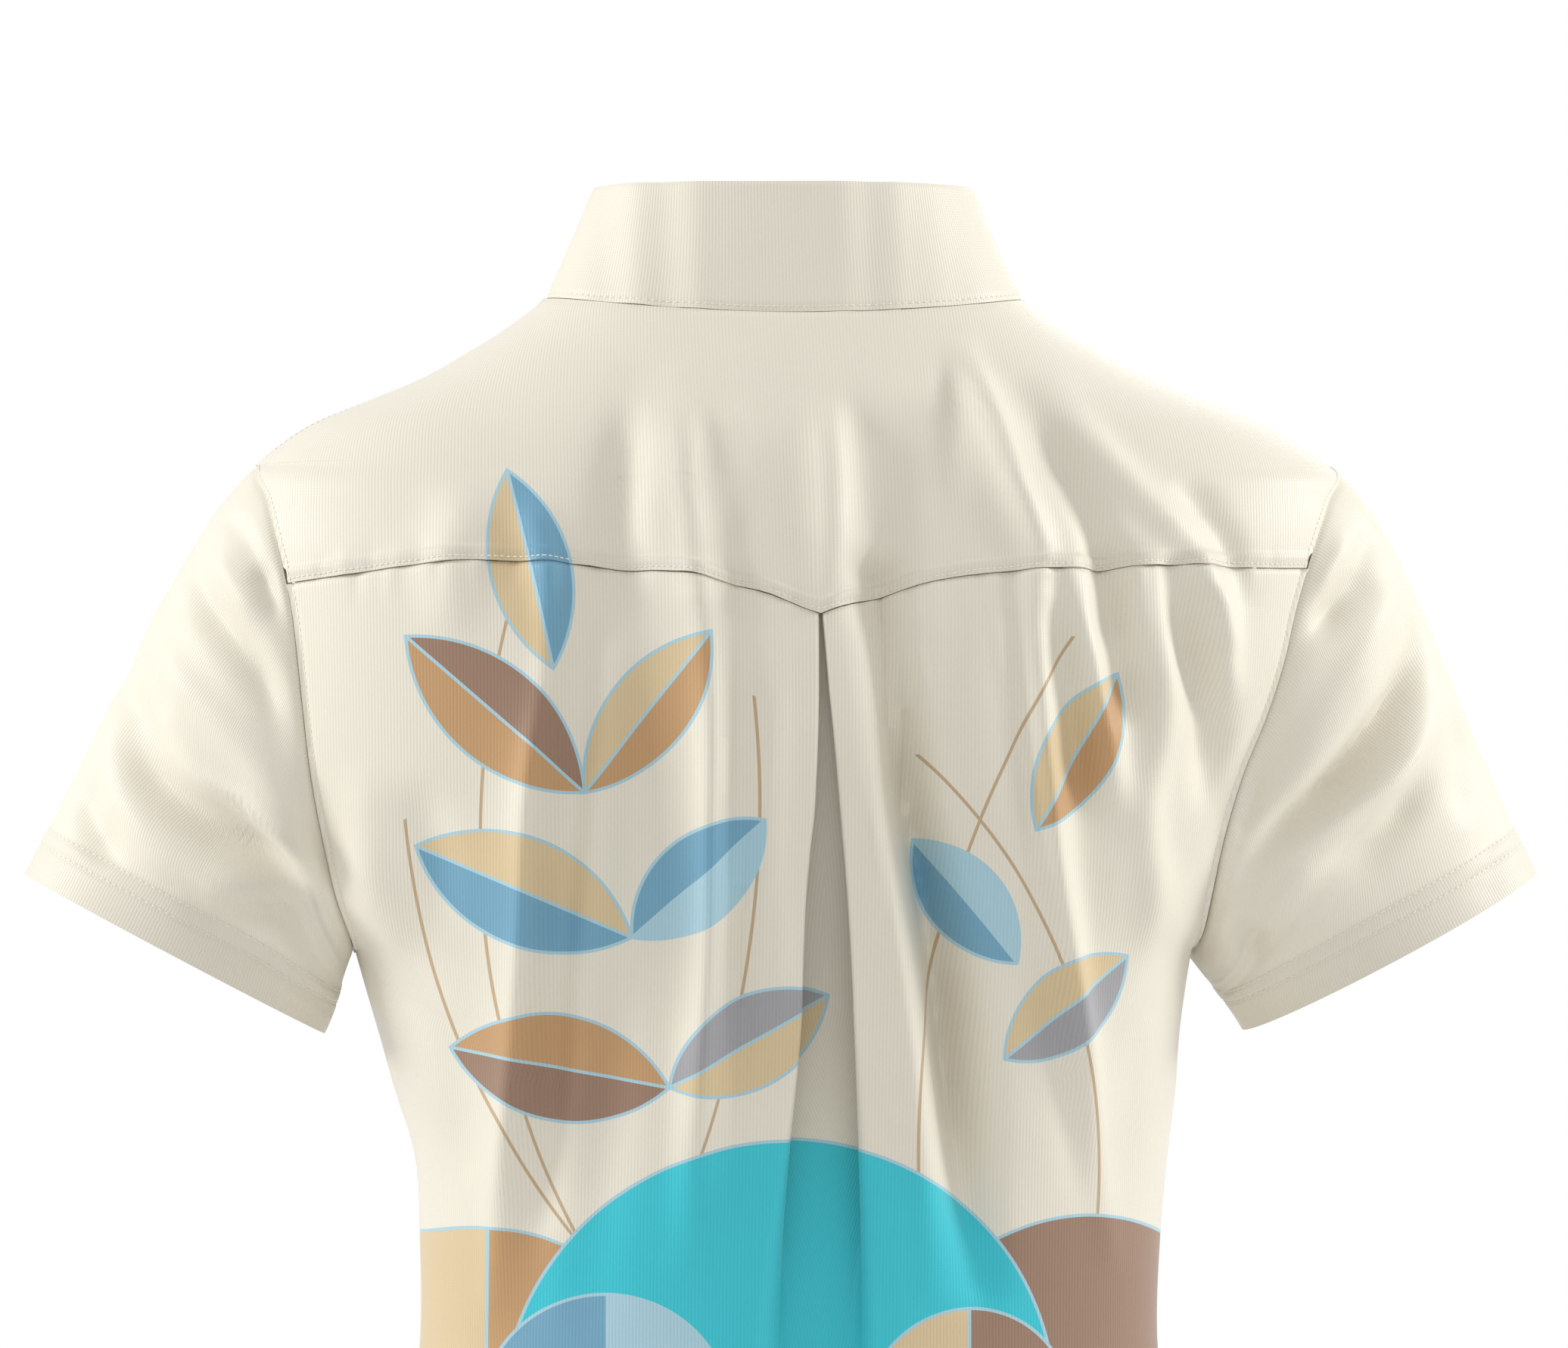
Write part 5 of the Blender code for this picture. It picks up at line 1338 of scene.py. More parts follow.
def motif_group():
    """A node group that lays one motif over a colour.

    The motif is where two discs overlap. A line through Middle parts its two tones, and Rib
    draws that line.
    """
    group, given = laying_group("motif", ("Place", "Centre A", "Centre B", "Middle", "Across"),
                                ("Radius A", "Radius B", "Half Line", "Rib"),
                                ("Left", "Right", "Line", "Under"))
    inside = math_node(group, "MAXIMUM", *(
        outside_disc(group, given["Place"], given[f"Centre {disc}"], given[f"Radius {disc}"])
        for disc in "AB"))
    away = vector_node(group, "SUBTRACT", given["Place"], given["Middle"])
    beside = vector_node(group, "DOT_PRODUCT", away, given["Across"])
    fill = soft_step(group, inside)
    edge = soft_step(group, off_line(group, inside, given["Half Line"]))
    rib = math_node(group, "MULTIPLY", fill,
                    soft_step(group, off_line(group, beside, given["Half Line"])))
    rib = math_node(group, "MULTIPLY", rib, given["Rib"])
    tone = mix_node(group, soft_step(group, beside), given["Left"], given["Right"])
    colour = mix_node(group, fill, given["Under"], tone)
    line = math_node(group, "MAXIMUM", edge, rib)
    return come_out(group, mix_node(group, line, colour, given["Line"]))


def stem_group():
    """A node group that lays one thin curved stem over a colour."""
    group, given = laying_group("stem", ("Place", "Centre", "Middle"),
                                ("Radius", "Reach", "Half Line"), ("Line", "Under"))
    away = off_line(group, outside_disc(group, given["Place"], given["Centre"], given["Radius"]),
                    given["Half Line"])
    ends = outside_disc(group, given["Place"], given["Middle"], given["Reach"])
    line = soft_step(group, math_node(group, "MAXIMUM", away, ends))
    return come_out(group, mix_node(group, line, given["Under"], given["Line"]))


def use_group(tree, group, under, place, **values):
    """Lays a group's motif over a colour, with the values of its other inputs."""
    node = tree.nodes.new("ShaderNodeGroup")
    node.node_tree = group
    for name, value in {"under": under, "place": place, **values}.items():
        put(tree, node.inputs[name.replace("_", " ").title()], value)
    return node.outputs["Colour"]


def flat_point(x, z):
    """A point of the print, in millimetres on the plane seen from behind."""
    return np.array([x, 0.0, z])


def arc_over(motif, height):
    """The arc that rises a height over the line from a motif's foot to its tip: the line's
    middle and length, the arc's radius, the way across, and how far off its centre lies.
    """
    foot, tip = flat_point(motif.foot_x, motif.foot_z), flat_point(motif.tip_x, motif.tip_z)
    length = np.linalg.norm(tip - foot)
    radius = (length ** 2 / 4 + height ** 2) / (2 * height)
    across = np.cross((tip - foot) / length, (0, 1, 0))
    return (foot + tip) / 2, length, radius, across, across * (radius - height)


def lay_print(tree, cloth):
    """The leaf print over the cloth's colour, on its outer side, by its place from behind."""
    inks = shirt().print
    place = vector_node(tree, "MULTIPLY", object_place(tree), (1 / MM, 0.0, 1 / MM))
    half = inks.line_width / MM / 2
    motif, curve = motif_group(), stem_group()
    colour = cloth
    for stem in PRINT_STEMS:
        middle, length, radius, _, away = arc_over(stem, abs(stem.bend))
        colour = use_group(tree, curve, colour, place, centre=middle + away * np.sign(stem.bend),
                           radius=radius, middle=middle, reach=length / 2, line=inks.stem,
                           half_line=half)
    for dome in PRINT_DOMES:
        centre = flat_point(dome.x, dome.base)
        colour = use_group(
            tree, motif, colour, place, centre_a=centre, radius_a=dome.radius,
            centre_b=centre + flat_point(0, FAR_DISC), radius_b=FAR_DISC, middle=centre,
            across=(1.0, 0.0, 0.0), left=getattr(inks, dome.left),
            right=getattr(inks, dome.right), line=inks.aqua, half_line=half,
            rib=float(dome.left != dome.right))
    for leaf in PRINT_LEAVES:
        middle, _, radius, across, away = arc_over(leaf, leaf.half_width)
        colour = use_group(
            tree, motif, colour, place, centre_a=middle - away, radius_a=radius,
            centre_b=middle + away, radius_b=radius, middle=middle, across=across,
            left=getattr(inks, leaf.left), right=getattr(inks, leaf.right), line=inks.aqua,
            half_line=half, rib=1.0)
    way = tree.nodes.new("ShaderNodeSeparateXYZ")
    faces = tree.nodes.new("ShaderNodeNewGeometry")
    tree.links.new(faces.outputs["True Normal"], way.inputs[0])
    outside = math_node(tree, "GREATER_THAN", way.outputs["Y"], 0.0)
    return mix_node(tree, outside, cloth, colour)


def knit_material(name, printed=False):
    """Cream technical knit: fine upright ribs, small loops and a soft sheen."""
    cloth = shirt().cloth
    material, tree, shader = new_material(name, cloth.colour, KNIT_ROUGHNESS)
    uv = tree.nodes.new("ShaderNodeUVMap")
    uv.uv_map = CLOTH_MAP
    place = uv.outputs["UV"]
    parts = tree.nodes.new("ShaderNodeSeparateXYZ")
    tree.links.new(place, parts.inputs[0])
    across = math_node(tree, "MULTIPLY", parts.outputs["X"], math.pi / cloth.rib_width)
    along = math_node(tree, "MULTIPLY", parts.outputs["Y"], math.pi / LOOP_HEIGHT)
    rib = math_node(tree, "ABSOLUTE", math_node(tree, "SINE", across))
    leg = math_node(tree, "MULTIPLY_ADD", rib, LOOP_SLANT, along)
    loop = math_node(tree, "ABSOLUTE", math_node(tree, "SINE", leg))
    fuzz = noise_node(tree, place, FUZZ_SCALE)
    height = math_node(tree, "MULTIPLY", rib, 1 - LOOP_SHARE)
    height = math_node(tree, "MULTIPLY_ADD", loop, LOOP_SHARE, height)
    height = math_node(tree, "MULTIPLY_ADD", fuzz, FUZZ_SHARE, height)
    raise_by(tree, shader, height, cloth.rib_depth)
    colour = lay_print(tree, cloth.colour) if printed else cloth.colour
    mottle = noise_node(tree, place, MOTTLE_SCALE, MOTTLE_DETAIL)
    mottle = math_node(tree, "MULTIPLY_ADD", mottle, MOTTLE, 1 - MOTTLE / 2)
    # Painted shade: the colour is lowered where the cloth is doubled.
    doubled = tree.nodes.new("ShaderNodeAttribute")
    doubled.attribute_name = DOUBLED
    doubled_painted_shade = math_node(tree, "MULTIPLY_ADD", doubled.outputs["Fac"], -DOUBLED_PAINTED_SHADE, 1.0)
    # Painted shade in the grooves between the ribs, then the random mottle.
    shade = math_node(tree, "MULTIPLY_ADD", rib, 1 - RIB_GROOVE_PAINTED_SHADE, RIB_GROOVE_PAINTED_SHADE)
    shade = math_node(tree, "MULTIPLY", math_node(tree, "MULTIPLY", shade, mottle), doubled_painted_shade)
    rough = math_node(tree, "MULTIPLY_ADD", fuzz, KNIT_ROUGHENING,
                      KNIT_ROUGHNESS - KNIT_ROUGHENING / 2)
    fill_in(tree, shader, Base_Color=shaded(tree, colour, shade), Roughness=rough,
            Specular_IOR_Level=KNIT_SHINE, Sheen_Weight=cloth.sheen,
            Sheen_Roughness=SHEEN_ROUGHNESS, Sheen_Tint=SHEEN_TINT)
    return material


def thread_material():
    """Smooth polyester thread with a fine twist."""
    colour = shirt().sewing.colour
    material, tree, shader = new_material("thread", colour, THREAD_ROUGHNESS)
    twist = noise_node(tree, object_place(tree), TWIST_SCALE, 1.0)
    raise_by(tree, shader, twist, TWIST_DEPTH, 0.5)
    # Painted shade: the twist that raises the thread also lowers its colour where it sinks.
    shade = math_node(tree, "MULTIPLY_ADD", twist, TWIST_PAINTED_SHADE, THREAD_GROOVE_PAINTED_SHADE)
    fill_in(tree, shader, Base_Color=shaded(tree, colour, shade))
    return material


def button_material():
    """Polished resin with a faint pearly swirl."""
    colour = shirt().button.colour
    material, tree, shader = new_material("button_resin", colour, RESIN_ROUGHNESS)
    where = object_place(tree)
    swirl = tree.nodes.new("ShaderNodeTexWave")
    swirl.wave_type = "BANDS"
    fill_in(tree, swirl, Vector=where, Scale=SWIRL_SCALE, Distortion=6.0, Detail=2.0)
    dark = [part * SWIRL_SHADE for part in colour]
    scratch = noise_node(tree, where, SCRATCH_SCALE, 4.0)
    fill_in(tree, shader, Base_Color=mix_node(tree, swirl.outputs["Fac"], dark, colour),
            Roughness=math_node(tree, "MULTIPLY_ADD", scratch, SCRATCH_ROUGHENING,
                                SMOOTHEST_RESIN),
            Coat_Weight=0.3)
    return material


def material_named(name, make, *arguments):
    """A material of the scene, made the first time it is asked for."""
    return bpy.data.materials.get(name) or make(*arguments)


def select_only(thing):
    """Makes one object the selected and active one."""
    bpy.ops.object.select_all(action="DESELECT")
    thing.select_set(True)
    bpy.context.view_layer.objects.active = thing


def add_mesh(name, vertices, faces):
    """An object in the scene made of points in millimetres and faces."""
    mesh = bpy.data.meshes.new(name)
    mesh.from_pydata((np.asarray(vertices) * MM).tolist(), [], faces)
    mesh.validate()
    thing = bpy.data.objects.new(name, mesh)
    bpy.context.scene.collection.objects.link(thing)
    return thing


def add_cloth(name, points, across, down, wall, closed=False, gap=None, doubled=None):
    """A cloth piece through a grid of points seen from outside, left to right and downwards.

    across holds the cloth's own distances at the start and the end of each face, and down its
    distances down the cloth, all in millimetres. gap is a test for faces to leave out, and
    doubled tells how much the cloth is doubled at each point.
    """
    rows, columns = points.shape[:2]
    last = columns if closed else columns - 1
    faces, places = [], []
    for row in range(rows - 1):
        for start in range(last):
            if gap and gap(row, start):
                continue
            end = (start + 1) % columns
            faces.append((row * columns + start, (row + 1) * columns + start,
                          (row + 1) * columns + end, row * columns + end))
            places += [(across[0][row, start], down[row, start]),
                       (across[0][row + 1, start], down[row + 1, start]),
                       (across[1][row + 1, start], down[row + 1, end]),
                       (across[1][row, start], down[row, end])]
    cloth = add_mesh(name, points.reshape(-1, 3), faces)
    layer = cloth.data.uv_layers.new(name=CLOTH_MAP)
    layer.data.foreach_set("uv", (np.array(places) * MM).ravel())
    # The knit paints shade into its colour by this mark.
    if doubled is not None:
        mark = cloth.data.attributes.new(DOUBLED, "FLOAT", "POINT")
        mark.data.foreach_set("value", doubled.ravel())
    drop_loose_points(cloth)
    thicken(cloth, wall)
    return cloth


def drop_loose_points(thing):
    """Takes away the points that no face uses."""
    select_only(thing)
    bpy.ops.object.mode_set(mode="EDIT")
    bpy.ops.mesh.select_all(action="SELECT")
    bpy.ops.mesh.delete_loose(use_verts=True, use_edges=True, use_faces=False)
    bpy.ops.object.mode_set(mode="OBJECT")


def thicken(cloth, wall):
    """Gives the cloth its wall, inwards, and smooths it up to its cut edges."""
    select_only(cloth)
    solid = cloth.modifiers.new("wall", "SOLIDIFY")
    solid.thickness = wall * MM
    solid.offset = -1.0
    bpy.ops.object.modifier_apply(modifier=solid.name)
    bpy.ops.object.shade_smooth_by_angle(angle=SHARP_ANGLE)


def between(values):
    """A grid's values at the start and at the end of each face across."""
    return values[:, :-1], values[:, 1:]


def give(piece, material, slot, *nodes):
    """Gives a finished piece its material and its body, and hides the solids it stands for; slot is not
    used.
    """
    piece.data.materials.append(material)
    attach(piece, "root")
    if nodes:
        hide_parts(*nodes)


def crossing(points, ways, field, value):
    """Where a field passes a value down each column of a grid: the points and their ways out."""
    above = field > value
    turn = above[:-1] != above[1:]
    found = turn.any(axis=0)
    row = turn.argmax(axis=0)[found]
    place = np.nonzero(found)[0]
    start, end = field[row, place], field[row + 1, place]
    share = ((value - start) / (end - start))[:, None]
    return (points[row, place] * (1 - share) + points[row + 1, place] * share,
            ways[row, place] * (1 - share) + ways[row + 1, place] * share)


def thread_shape():
    """One stitch along X: a bar of thread, rounded at both ends, one unit long and thick."""
    points = [(-0.5, 0, 0)]
    for place, size in THREAD_RINGS:
        for side in range(THREAD_SIDES):
            turn = 2 * math.pi * side / THREAD_SIDES
            points.append((place, size * math.cos(turn) / 2, size * math.sin(turn) / 2))
    points.append((0.5, 0, 0))
    faces = []
    last = len(THREAD_RINGS) - 1
    for side in range(THREAD_SIDES):
        after = (side + 1) % THREAD_SIDES
        faces.append((0, 1 + after, 1 + side))
        for ring in range(last):
            low = 1 + ring * THREAD_SIDES
            faces.append((low + side, low + after, low + THREAD_SIDES + after,
                          low + THREAD_SIDES + side))
        top = 1 + last * THREAD_SIDES
        faces.append((top + side, top + after, top + THREAD_SIDES))
    return np.array(points), faces


def row_of_stitches(path, ways, pitch, seed):
    """The points of a row of stitches along a path: one bar of thread for each."""
    shape = thread_shape()[0]
    thread = shirt().sewing.thread / MM
    chance = np.random.default_rng(seed)
    steps = np.concatenate([[0], np.cumsum(np.linalg.norm(np.diff(path, axis=0), axis=1))])
    count = max(1, round(steps[-1] / pitch))
    pitch = steps[-1] / count
    starts = (np.arange(count) + STITCH_GAP / 2) * pitch
    stretch = chance.uniform(1 - STITCH_SPREAD, 1 + STITCH_SPREAD, count)
    ends = starts + (1 - STITCH_GAP) * pitch * stretch

    def at(values, place):
        return np.stack([np.interp(place, steps, values[:, i]) for i in range(3)], axis=-1)

    first, last = at(path, starts), at(path, ends)
    up = at(ways, (starts + ends) / 2)
    up /= np.linalg.norm(up, axis=1, keepdims=True)
    length = np.linalg.norm(last - first, axis=1, keepdims=True)
    along = (last - first) / length
    side = np.cross(up, along)
    lean = chance.uniform(-STITCH_LEAN, STITCH_LEAN, (count, 1))
    along = along * np.cos(lean) + side * np.sin(lean)
    side = np.cross(up, along)
    middle = (first + last) / 2 + up * thread * THREAD_PROUD
    dip = (2 * shape[:, 0]) ** 4 * thread * THREAD_DIP
    return (middle[:, None] + along[:, None] * shape[None, :, :1] * length[:, None]
            + side[:, None] * shape[None, :, 1:2] * thread
            + up[:, None] * (shape[None, :, 2:] * thread - dip[None, :, None]))


def add_stitches(name, *rows):
    """One piece of all the stitches of a seam."""
    shape_faces = thread_shape()[1]
    bars = np.concatenate(rows)
    size = bars.shape[1]
    faces = [tuple(number * size + point for point in face)
             for number in range(len(bars)) for face in shape_faces]
    piece = add_mesh(name, bars.reshape(-1, 3), faces)
    select_only(piece)
    bpy.ops.object.shade_smooth()
    give(piece, material_named("thread", thread_material), "cream_knit")


def side_rows(points, ways, to_edge, inward, seed):
    """A row of stitches beside each of the two side edges of a piece."""
    middle = points.shape[1] // 2
    rows = []
    for number, part in enumerate((slice(0, middle), slice(middle, None))):
        turned = (grid[:, part].swapaxes(0, 1) for grid in (points, ways, to_edge))
        edge = crossing(*turned, inward)
        rows.append(row_of_stitches(*edge, shirt().sewing.seam_pitch / MM, seed + number))
    return rows


def sew_panel(name, points, level, to_armhole, seed):
    """The rows of stitches beside a body panel's armholes, and those of its hem."""
    ways = ways_out(points)
    add_stitches(f"{name}_stitches",
                 *side_rows(points, ways, to_armhole, ARMHOLE_STITCH_IN, seed))
    pitch = shirt().sewing.hem_pitch / MM
    rows = [row_of_stitches(*crossing(points, ways, level - HEM_LEVEL, up), pitch, hem_seed)
            for hem_seed, up in enumerate(BODY_HEM_ROWS, seed + 2)]
    add_stitches(f"{name}_hem_stitches", *rows)


def plain_knit():
    """The unprinted knit."""
    return material_named("knit", knit_material, "knit")


def printed_knit():
    """The knit with the leaf print."""
    return material_named("printed_knit", knit_material, "printed_knit", True)


class SHIRT_OT_collar(bpy.types.Operator):
    """Make the stand collar and its row of stitches"""
    bl_idname = "golf_shirt.collar"
    bl_label = "Collar"

    def execute(self, context):
        rows = close_rows(COLLAR_STEPS, COLLAR_FINENESS, *CLOSE_ENDS)
        points, above = collar_points(1 - rows / COLLAR_STEPS)
        reach = lengths_along(points[-1:], 1) + 0 * points[..., 0]
        collar = add_cloth("collar_cloth", points, between(reach), lengths_along(points, 0),
                           COLLAR_WALL)
        give(collar, plain_knit(), "cream_knit", "collar")
        row = crossing(points, ways_out(points), above, COLLAR_STITCH_UP)
        add_stitches("collar_stitches", row_of_stitches(*row, shirt().sewing.hem_pitch / MM, 3))
        return {"FINISHED"}


class SHIRT_OT_yoke(bpy.types.Operator):
    """Make the yoke with its gathered lower seam, and its rows of stitches"""
    bl_idname = "golf_shirt.yoke"
    bl_label = "Yoke"

    def execute(self, context):
        reach, level, lift, above_seam, to_edge = yoke_grid()
        points = dressed(reach, level, True, lift)
        yoke = add_cloth("yoke_cloth", points, between(-reach), -level, WALL,
                         doubled=doubling(above_seam, *SEAM_FOLD))
        give(yoke, printed_knit(), "cream_knit", "yoke")
        ways = ways_out(points)
        seam = crossing(points, ways, above_seam, YOKE_STITCH_UP)
        add_stitches("yoke_stitches",
                     row_of_stitches(*seam, shirt().sewing.seam_pitch / MM, 5),
                     *side_rows(points, ways, to_edge, ARMHOLE_STITCH_IN, 6))
        return {"FINISHED"}


class SHIRT_OT_back(bpy.types.Operator):
    """Make the back with its box pleat and folded hem, and its rows of stitches"""
    bl_idname = "golf_shirt.back"
    bl_label = "Back"

    def execute(self, context):
        (reach, level, lift, to_armhole, to_edge), left, right = back_grid()
        points = dressed(reach, level, True, lift)
        points = eased_past_armpit(points, level, reach, to_edge)
        starts = -np.concatenate([left[:, :-1], right[:, :-1]], axis=1)
        ends = -np.concatenate([left[:, 1:], right[:, 1:]], axis=1)
        back = add_cloth("back_cloth", points, (starts, ends), -level, WALL,
                         doubled=doubling(level - HEM_LEVEL, *HEM_FOLD))
        give(back, printed_knit(), "cream_knit", "back")
        sew_panel("back", points, level, to_armhole, 11)
        return {"FINISHED"}


class SHIRT_OT_front(bpy.types.Operator):
    """Make the front with its opening and folded hem, and its rows of stitches"""
    bl_idname = "golf_shirt.front"
    bl_label = "Front"

    def execute(self, context):
        reach, level, lift, to_armhole, to_edge = front_grid()
        points = dressed(reach, level, False, lift)
        points = eased_past_armpit(points, level, reach, to_edge)
        middle = points.shape[1] // 2
        foot = OPENING_STEPS * FRONT_FINENESS

        def gap(row, start):
            return row < foot and middle - OPENING_COLUMNS <= start < middle + OPENING_COLUMNS

        front = add_cloth("front_cloth", points, between(reach), -level, WALL, gap=gap,
                          doubled=doubling(level - HEM_LEVEL, *HEM_FOLD))
        give(front, plain_knit(), "cream_knit", "front")
        sew_panel("front", points, level, to_armhole, 21)
        return {"FINISHED"}


def add_sleeve(name, side):
    """A set-in sleeve and the two rows of stitches on its hem."""
    angles = np.linspace(0, 360, SLEEVE_COLUMNS + 1)[:-1]
    rows = close_rows(SLEEVE_STEPS, SLEEVE_FINENESS, *SLEEVE_CLOSE_ENDS)
    share = widening(rows / SLEEVE_STEPS, SLEEVE_WIDENING)
    points, down, above_hem = sleeve_points(side, share, angles)
    # The cloth's own distances round start under the arm, where the sleeve's seam is.
    round_top = lengths_along(np.concatenate([points, points[:, :1]], axis=1), 1)
    starts, ends = round_top[:, :-1].copy(), round_top[:, 1:].copy()
    under = SLEEVE_COLUMNS // 2
    starts[:, under + 1:] -= round_top[:, -1:]
    ends[:, under + 1:] -= round_top[:, -1:]
    if side < 0:
        # Seen from behind, the right sleeve's angles run from right to left.
        points, down, above_hem = (part[:, ::-1] for part in (points, down, above_hem))
        starts, ends = (np.roll(part[:, ::-1], -1, axis=1) for part in (ends, starts))
    sleeve = add_cloth(f"{name}_cloth", points, (starts, ends), down, WALL, closed=True,
                       doubled=doubling(above_hem, *HEM_FOLD))
    give(sleeve, plain_knit(), "cream_knit", name)
    ways = ways_out(points, closed=True)
    stitches = []
    for seed, up in enumerate(SLEEVE_HEM_ROWS, 31):
        row = [np.concatenate([part, part[:1]]) for part in crossing(points, ways, above_hem, up)]
        stitches.append(row_of_stitches(*row, shirt().sewing.hem_pitch / MM, seed))
    add_stitches(f"{name}_stitches", *stitches)


class SHIRT_OT_sleeves(bpy.types.Operator):
    """Make the two set-in sleeves with their hems and stitches"""
    bl_idname = "golf_shirt.sleeves"
    bl_label = "Sleeves"

    def execute(self, context):
        add_sleeve("sleeve_left", 1)
        add_sleeve("sleeve_right", -1)
        return {"FINISHED"}


def band_grid(inner, outer, head):
    """Reach and level of a band of the opening, from its head to its foot."""
    rows = np.linspace(0, OPENING_STEPS, OPENING_STEPS * BAND_FINENESS + 1)
    reach = np.linspace(inner, outer, BAND_COLUMNS + 1)
    level = np.empty((len(rows), len(reach)))
    for number, place in enumerate(reach):
        side = 1 if place >= 0 else -1
        wanted = np.full((len(rows), 1), abs(place))
        level[:, number] = front_row_level(rows, wanted, side)[1][:, 0]
    fade = rows / rows[-1]
    shift = -head * np.clip(1 - rows, 0, 1) + SEAM_GAP * np.clip(rows - rows[-1] + 1, 0, 1)
    return reach[None, :] + 0 * fade[:, None], level + shift[:, None]


class SHIRT_OT_bands(bpy.types.Operator):
    """Make the two overlapping bands of the front opening and their stitches"""
    bl_idname = "golf_shirt.bands"
    bl_label = "Bands"

    def execute(self, context):
        inner = SEAM_GAP - OPENING_HALF_WIDTH
        upper = band_grid(inner, OPENING_HALF_WIDTH - SEAM_GAP, 0.0)
        under = band_grid(inner, OPENING_HALF_WIDTH + BAND_TUCK, BAND_HEAD)
        for name, node, (reach, level), depth in (
                ("band_upper_cloth", "placket_upper", upper, 0.0),
                ("band_under_cloth", "placket_under", under, BAND_STEP)):
            to_edge = np.minimum(reach - reach[:, :1], reach[:, -1:] - reach)
            foot = level - level[-1:]
            lift = SEAM_DENT * groove(to_edge - BAND_STITCH_IN) - depth
            lift = lift + SEAM_ROLL * groove(np.minimum(to_edge, foot))
            points = dressed(reach, level, False, lift)
            band = add_cloth(name, points, between(reach), -level, WALL)
            give(band, plain_knit(), "band_knit", node)
            if node == "placket_upper":
                self.sew(points, to_edge, foot)
        return {"FINISHED"}

    def sew(self, points, to_edge, foot):
        """The rows of stitches down both edges of the upper band and across its foot."""
        ways = ways_out(points)
        pitch = shirt().sewing.seam_pitch / MM
        rows = side_rows(points, ways, to_edge, BAND_STITCH_IN, 41)
        for seed, up in ((43, BAND_STITCH_IN), (44, BAND_BOX)):
            path, path_ways = crossing(points, ways, foot, up)
            inner = slice(BAND_ROW_INSET, -BAND_ROW_INSET)
            rows.append(row_of_stitches(path[inner], path_ways[inner], pitch, seed))
        add_stitches("band_stitches", *rows)


def button_seats():
    """The middle of each button's underside, and its way out from the upper band."""
    count = SHOULDER_STEPS + FRONT_ARMHOLE_STEPS + BODY_STEPS
    foot = NECK_LEVEL + (HEM_LEVEL - NECK_LEVEL) * widening(OPENING_STEPS / count, FRONT_WIDENING)
    levels = np.linspace(NECK_LEVEL, foot, BUTTON_LINE_SAMPLES)
    line = on_body(np.zeros(BUTTON_LINE_SAMPLES), levels, False)
    down = lengths_along(line, 0)
    level = np.interp(BUTTON_STEPS, down, levels)
    middle = np.zeros(len(level))
    ways = outward(middle, level, False)
    return dressed(middle, level, False) + ways * SEAM_GAP, ways


def faces_where(thing, test):
    """Selects in edit mode the faces that pass a test."""
    bpy.ops.object.mode_set(mode="EDIT")
    bpy.ops.mesh.select_mode(type="FACE")
    bpy.ops.mesh.select_all(action="DESELECT")
    bpy.ops.object.mode_set(mode="OBJECT")
    for face in thing.data.polygons:
        face.select = test(face)
    bpy.ops.object.mode_set(mode="EDIT")


def add_cylinder(sides, radius, depth, place):
    """A plain upright cylinder."""
    bpy.ops.mesh.primitive_cylinder_add(vertices=sides, radius=radius, depth=depth, location=place)
    return bpy.context.object


def turn_button(number):
    """A button turned from a disc: a raised rim, a dished face and a rounded edge, with holes."""
    sizes = shirt().button
    radius, height = BUTTON_DIAMETER / 2 * MM, BUTTON_HEIGHT * MM
    button = add_cylinder(BUTTON_ROUND, radius, height, (0, 0, height / 2))
    button.name = button.data.name = f"button_{number}_resin"
    faces_where(button, lambda face: face.normal.z > FLAT_ENOUGH)
    bpy.ops.mesh.inset(thickness=sizes.rim, depth=0)
    bpy.ops.mesh.inset(thickness=BUTTON_SLOPE * MM, depth=0)
    bpy.ops.transform.translate(value=(0, 0, -BUTTON_DISH * MM))
    bpy.ops.mesh.inset(thickness=BUTTON_SLOPE * MM, depth=0)
    bpy.ops.object.mode_set(mode="OBJECT")
    faces_where(button, lambda face: face.normal.z < -FLAT_ENOUGH)
    bpy.ops.mesh.inset(thickness=sizes.rim, depth=0)
    bpy.ops.object.mode_set(mode="OBJECT")
    rounding = button.modifiers.new("rounding", "BEVEL")
    rounding.width = BUTTON_ROUNDING * MM
    rounding.segments = ROUNDING_STEPS
    rounding.limit_method = "ANGLE"
    rounding.angle_limit = ROUNDING_ANGLE
    bpy.ops.object.modifier_apply(modifier=rounding.name)
    for side in (1, -1):
        for end in (1, -1):
            drill_hole(button, side * sizes.spacing / 2, end * sizes.spacing / 2)
    select_only(button)
    bpy.ops.object.shade_smooth_by_angle(angle=SHARP_ANGLE)
    return button


def drill_hole(button, x, y):
    """Drills one hole through a button."""
    drill = add_cylinder(HOLE_ROUND, shirt().button.hole / 2, DRILL_LENGTH * MM, (x, y, 0))
    select_only(button)
    hole = button.modifiers.new("hole", "BOOLEAN")
    hole.operation = "DIFFERENCE"
    hole.solver = "EXACT"
    hole.object = drill
    bpy.ops.object.modifier_apply(modifier=hole.name)
    bpy.data.objects.remove(drill)


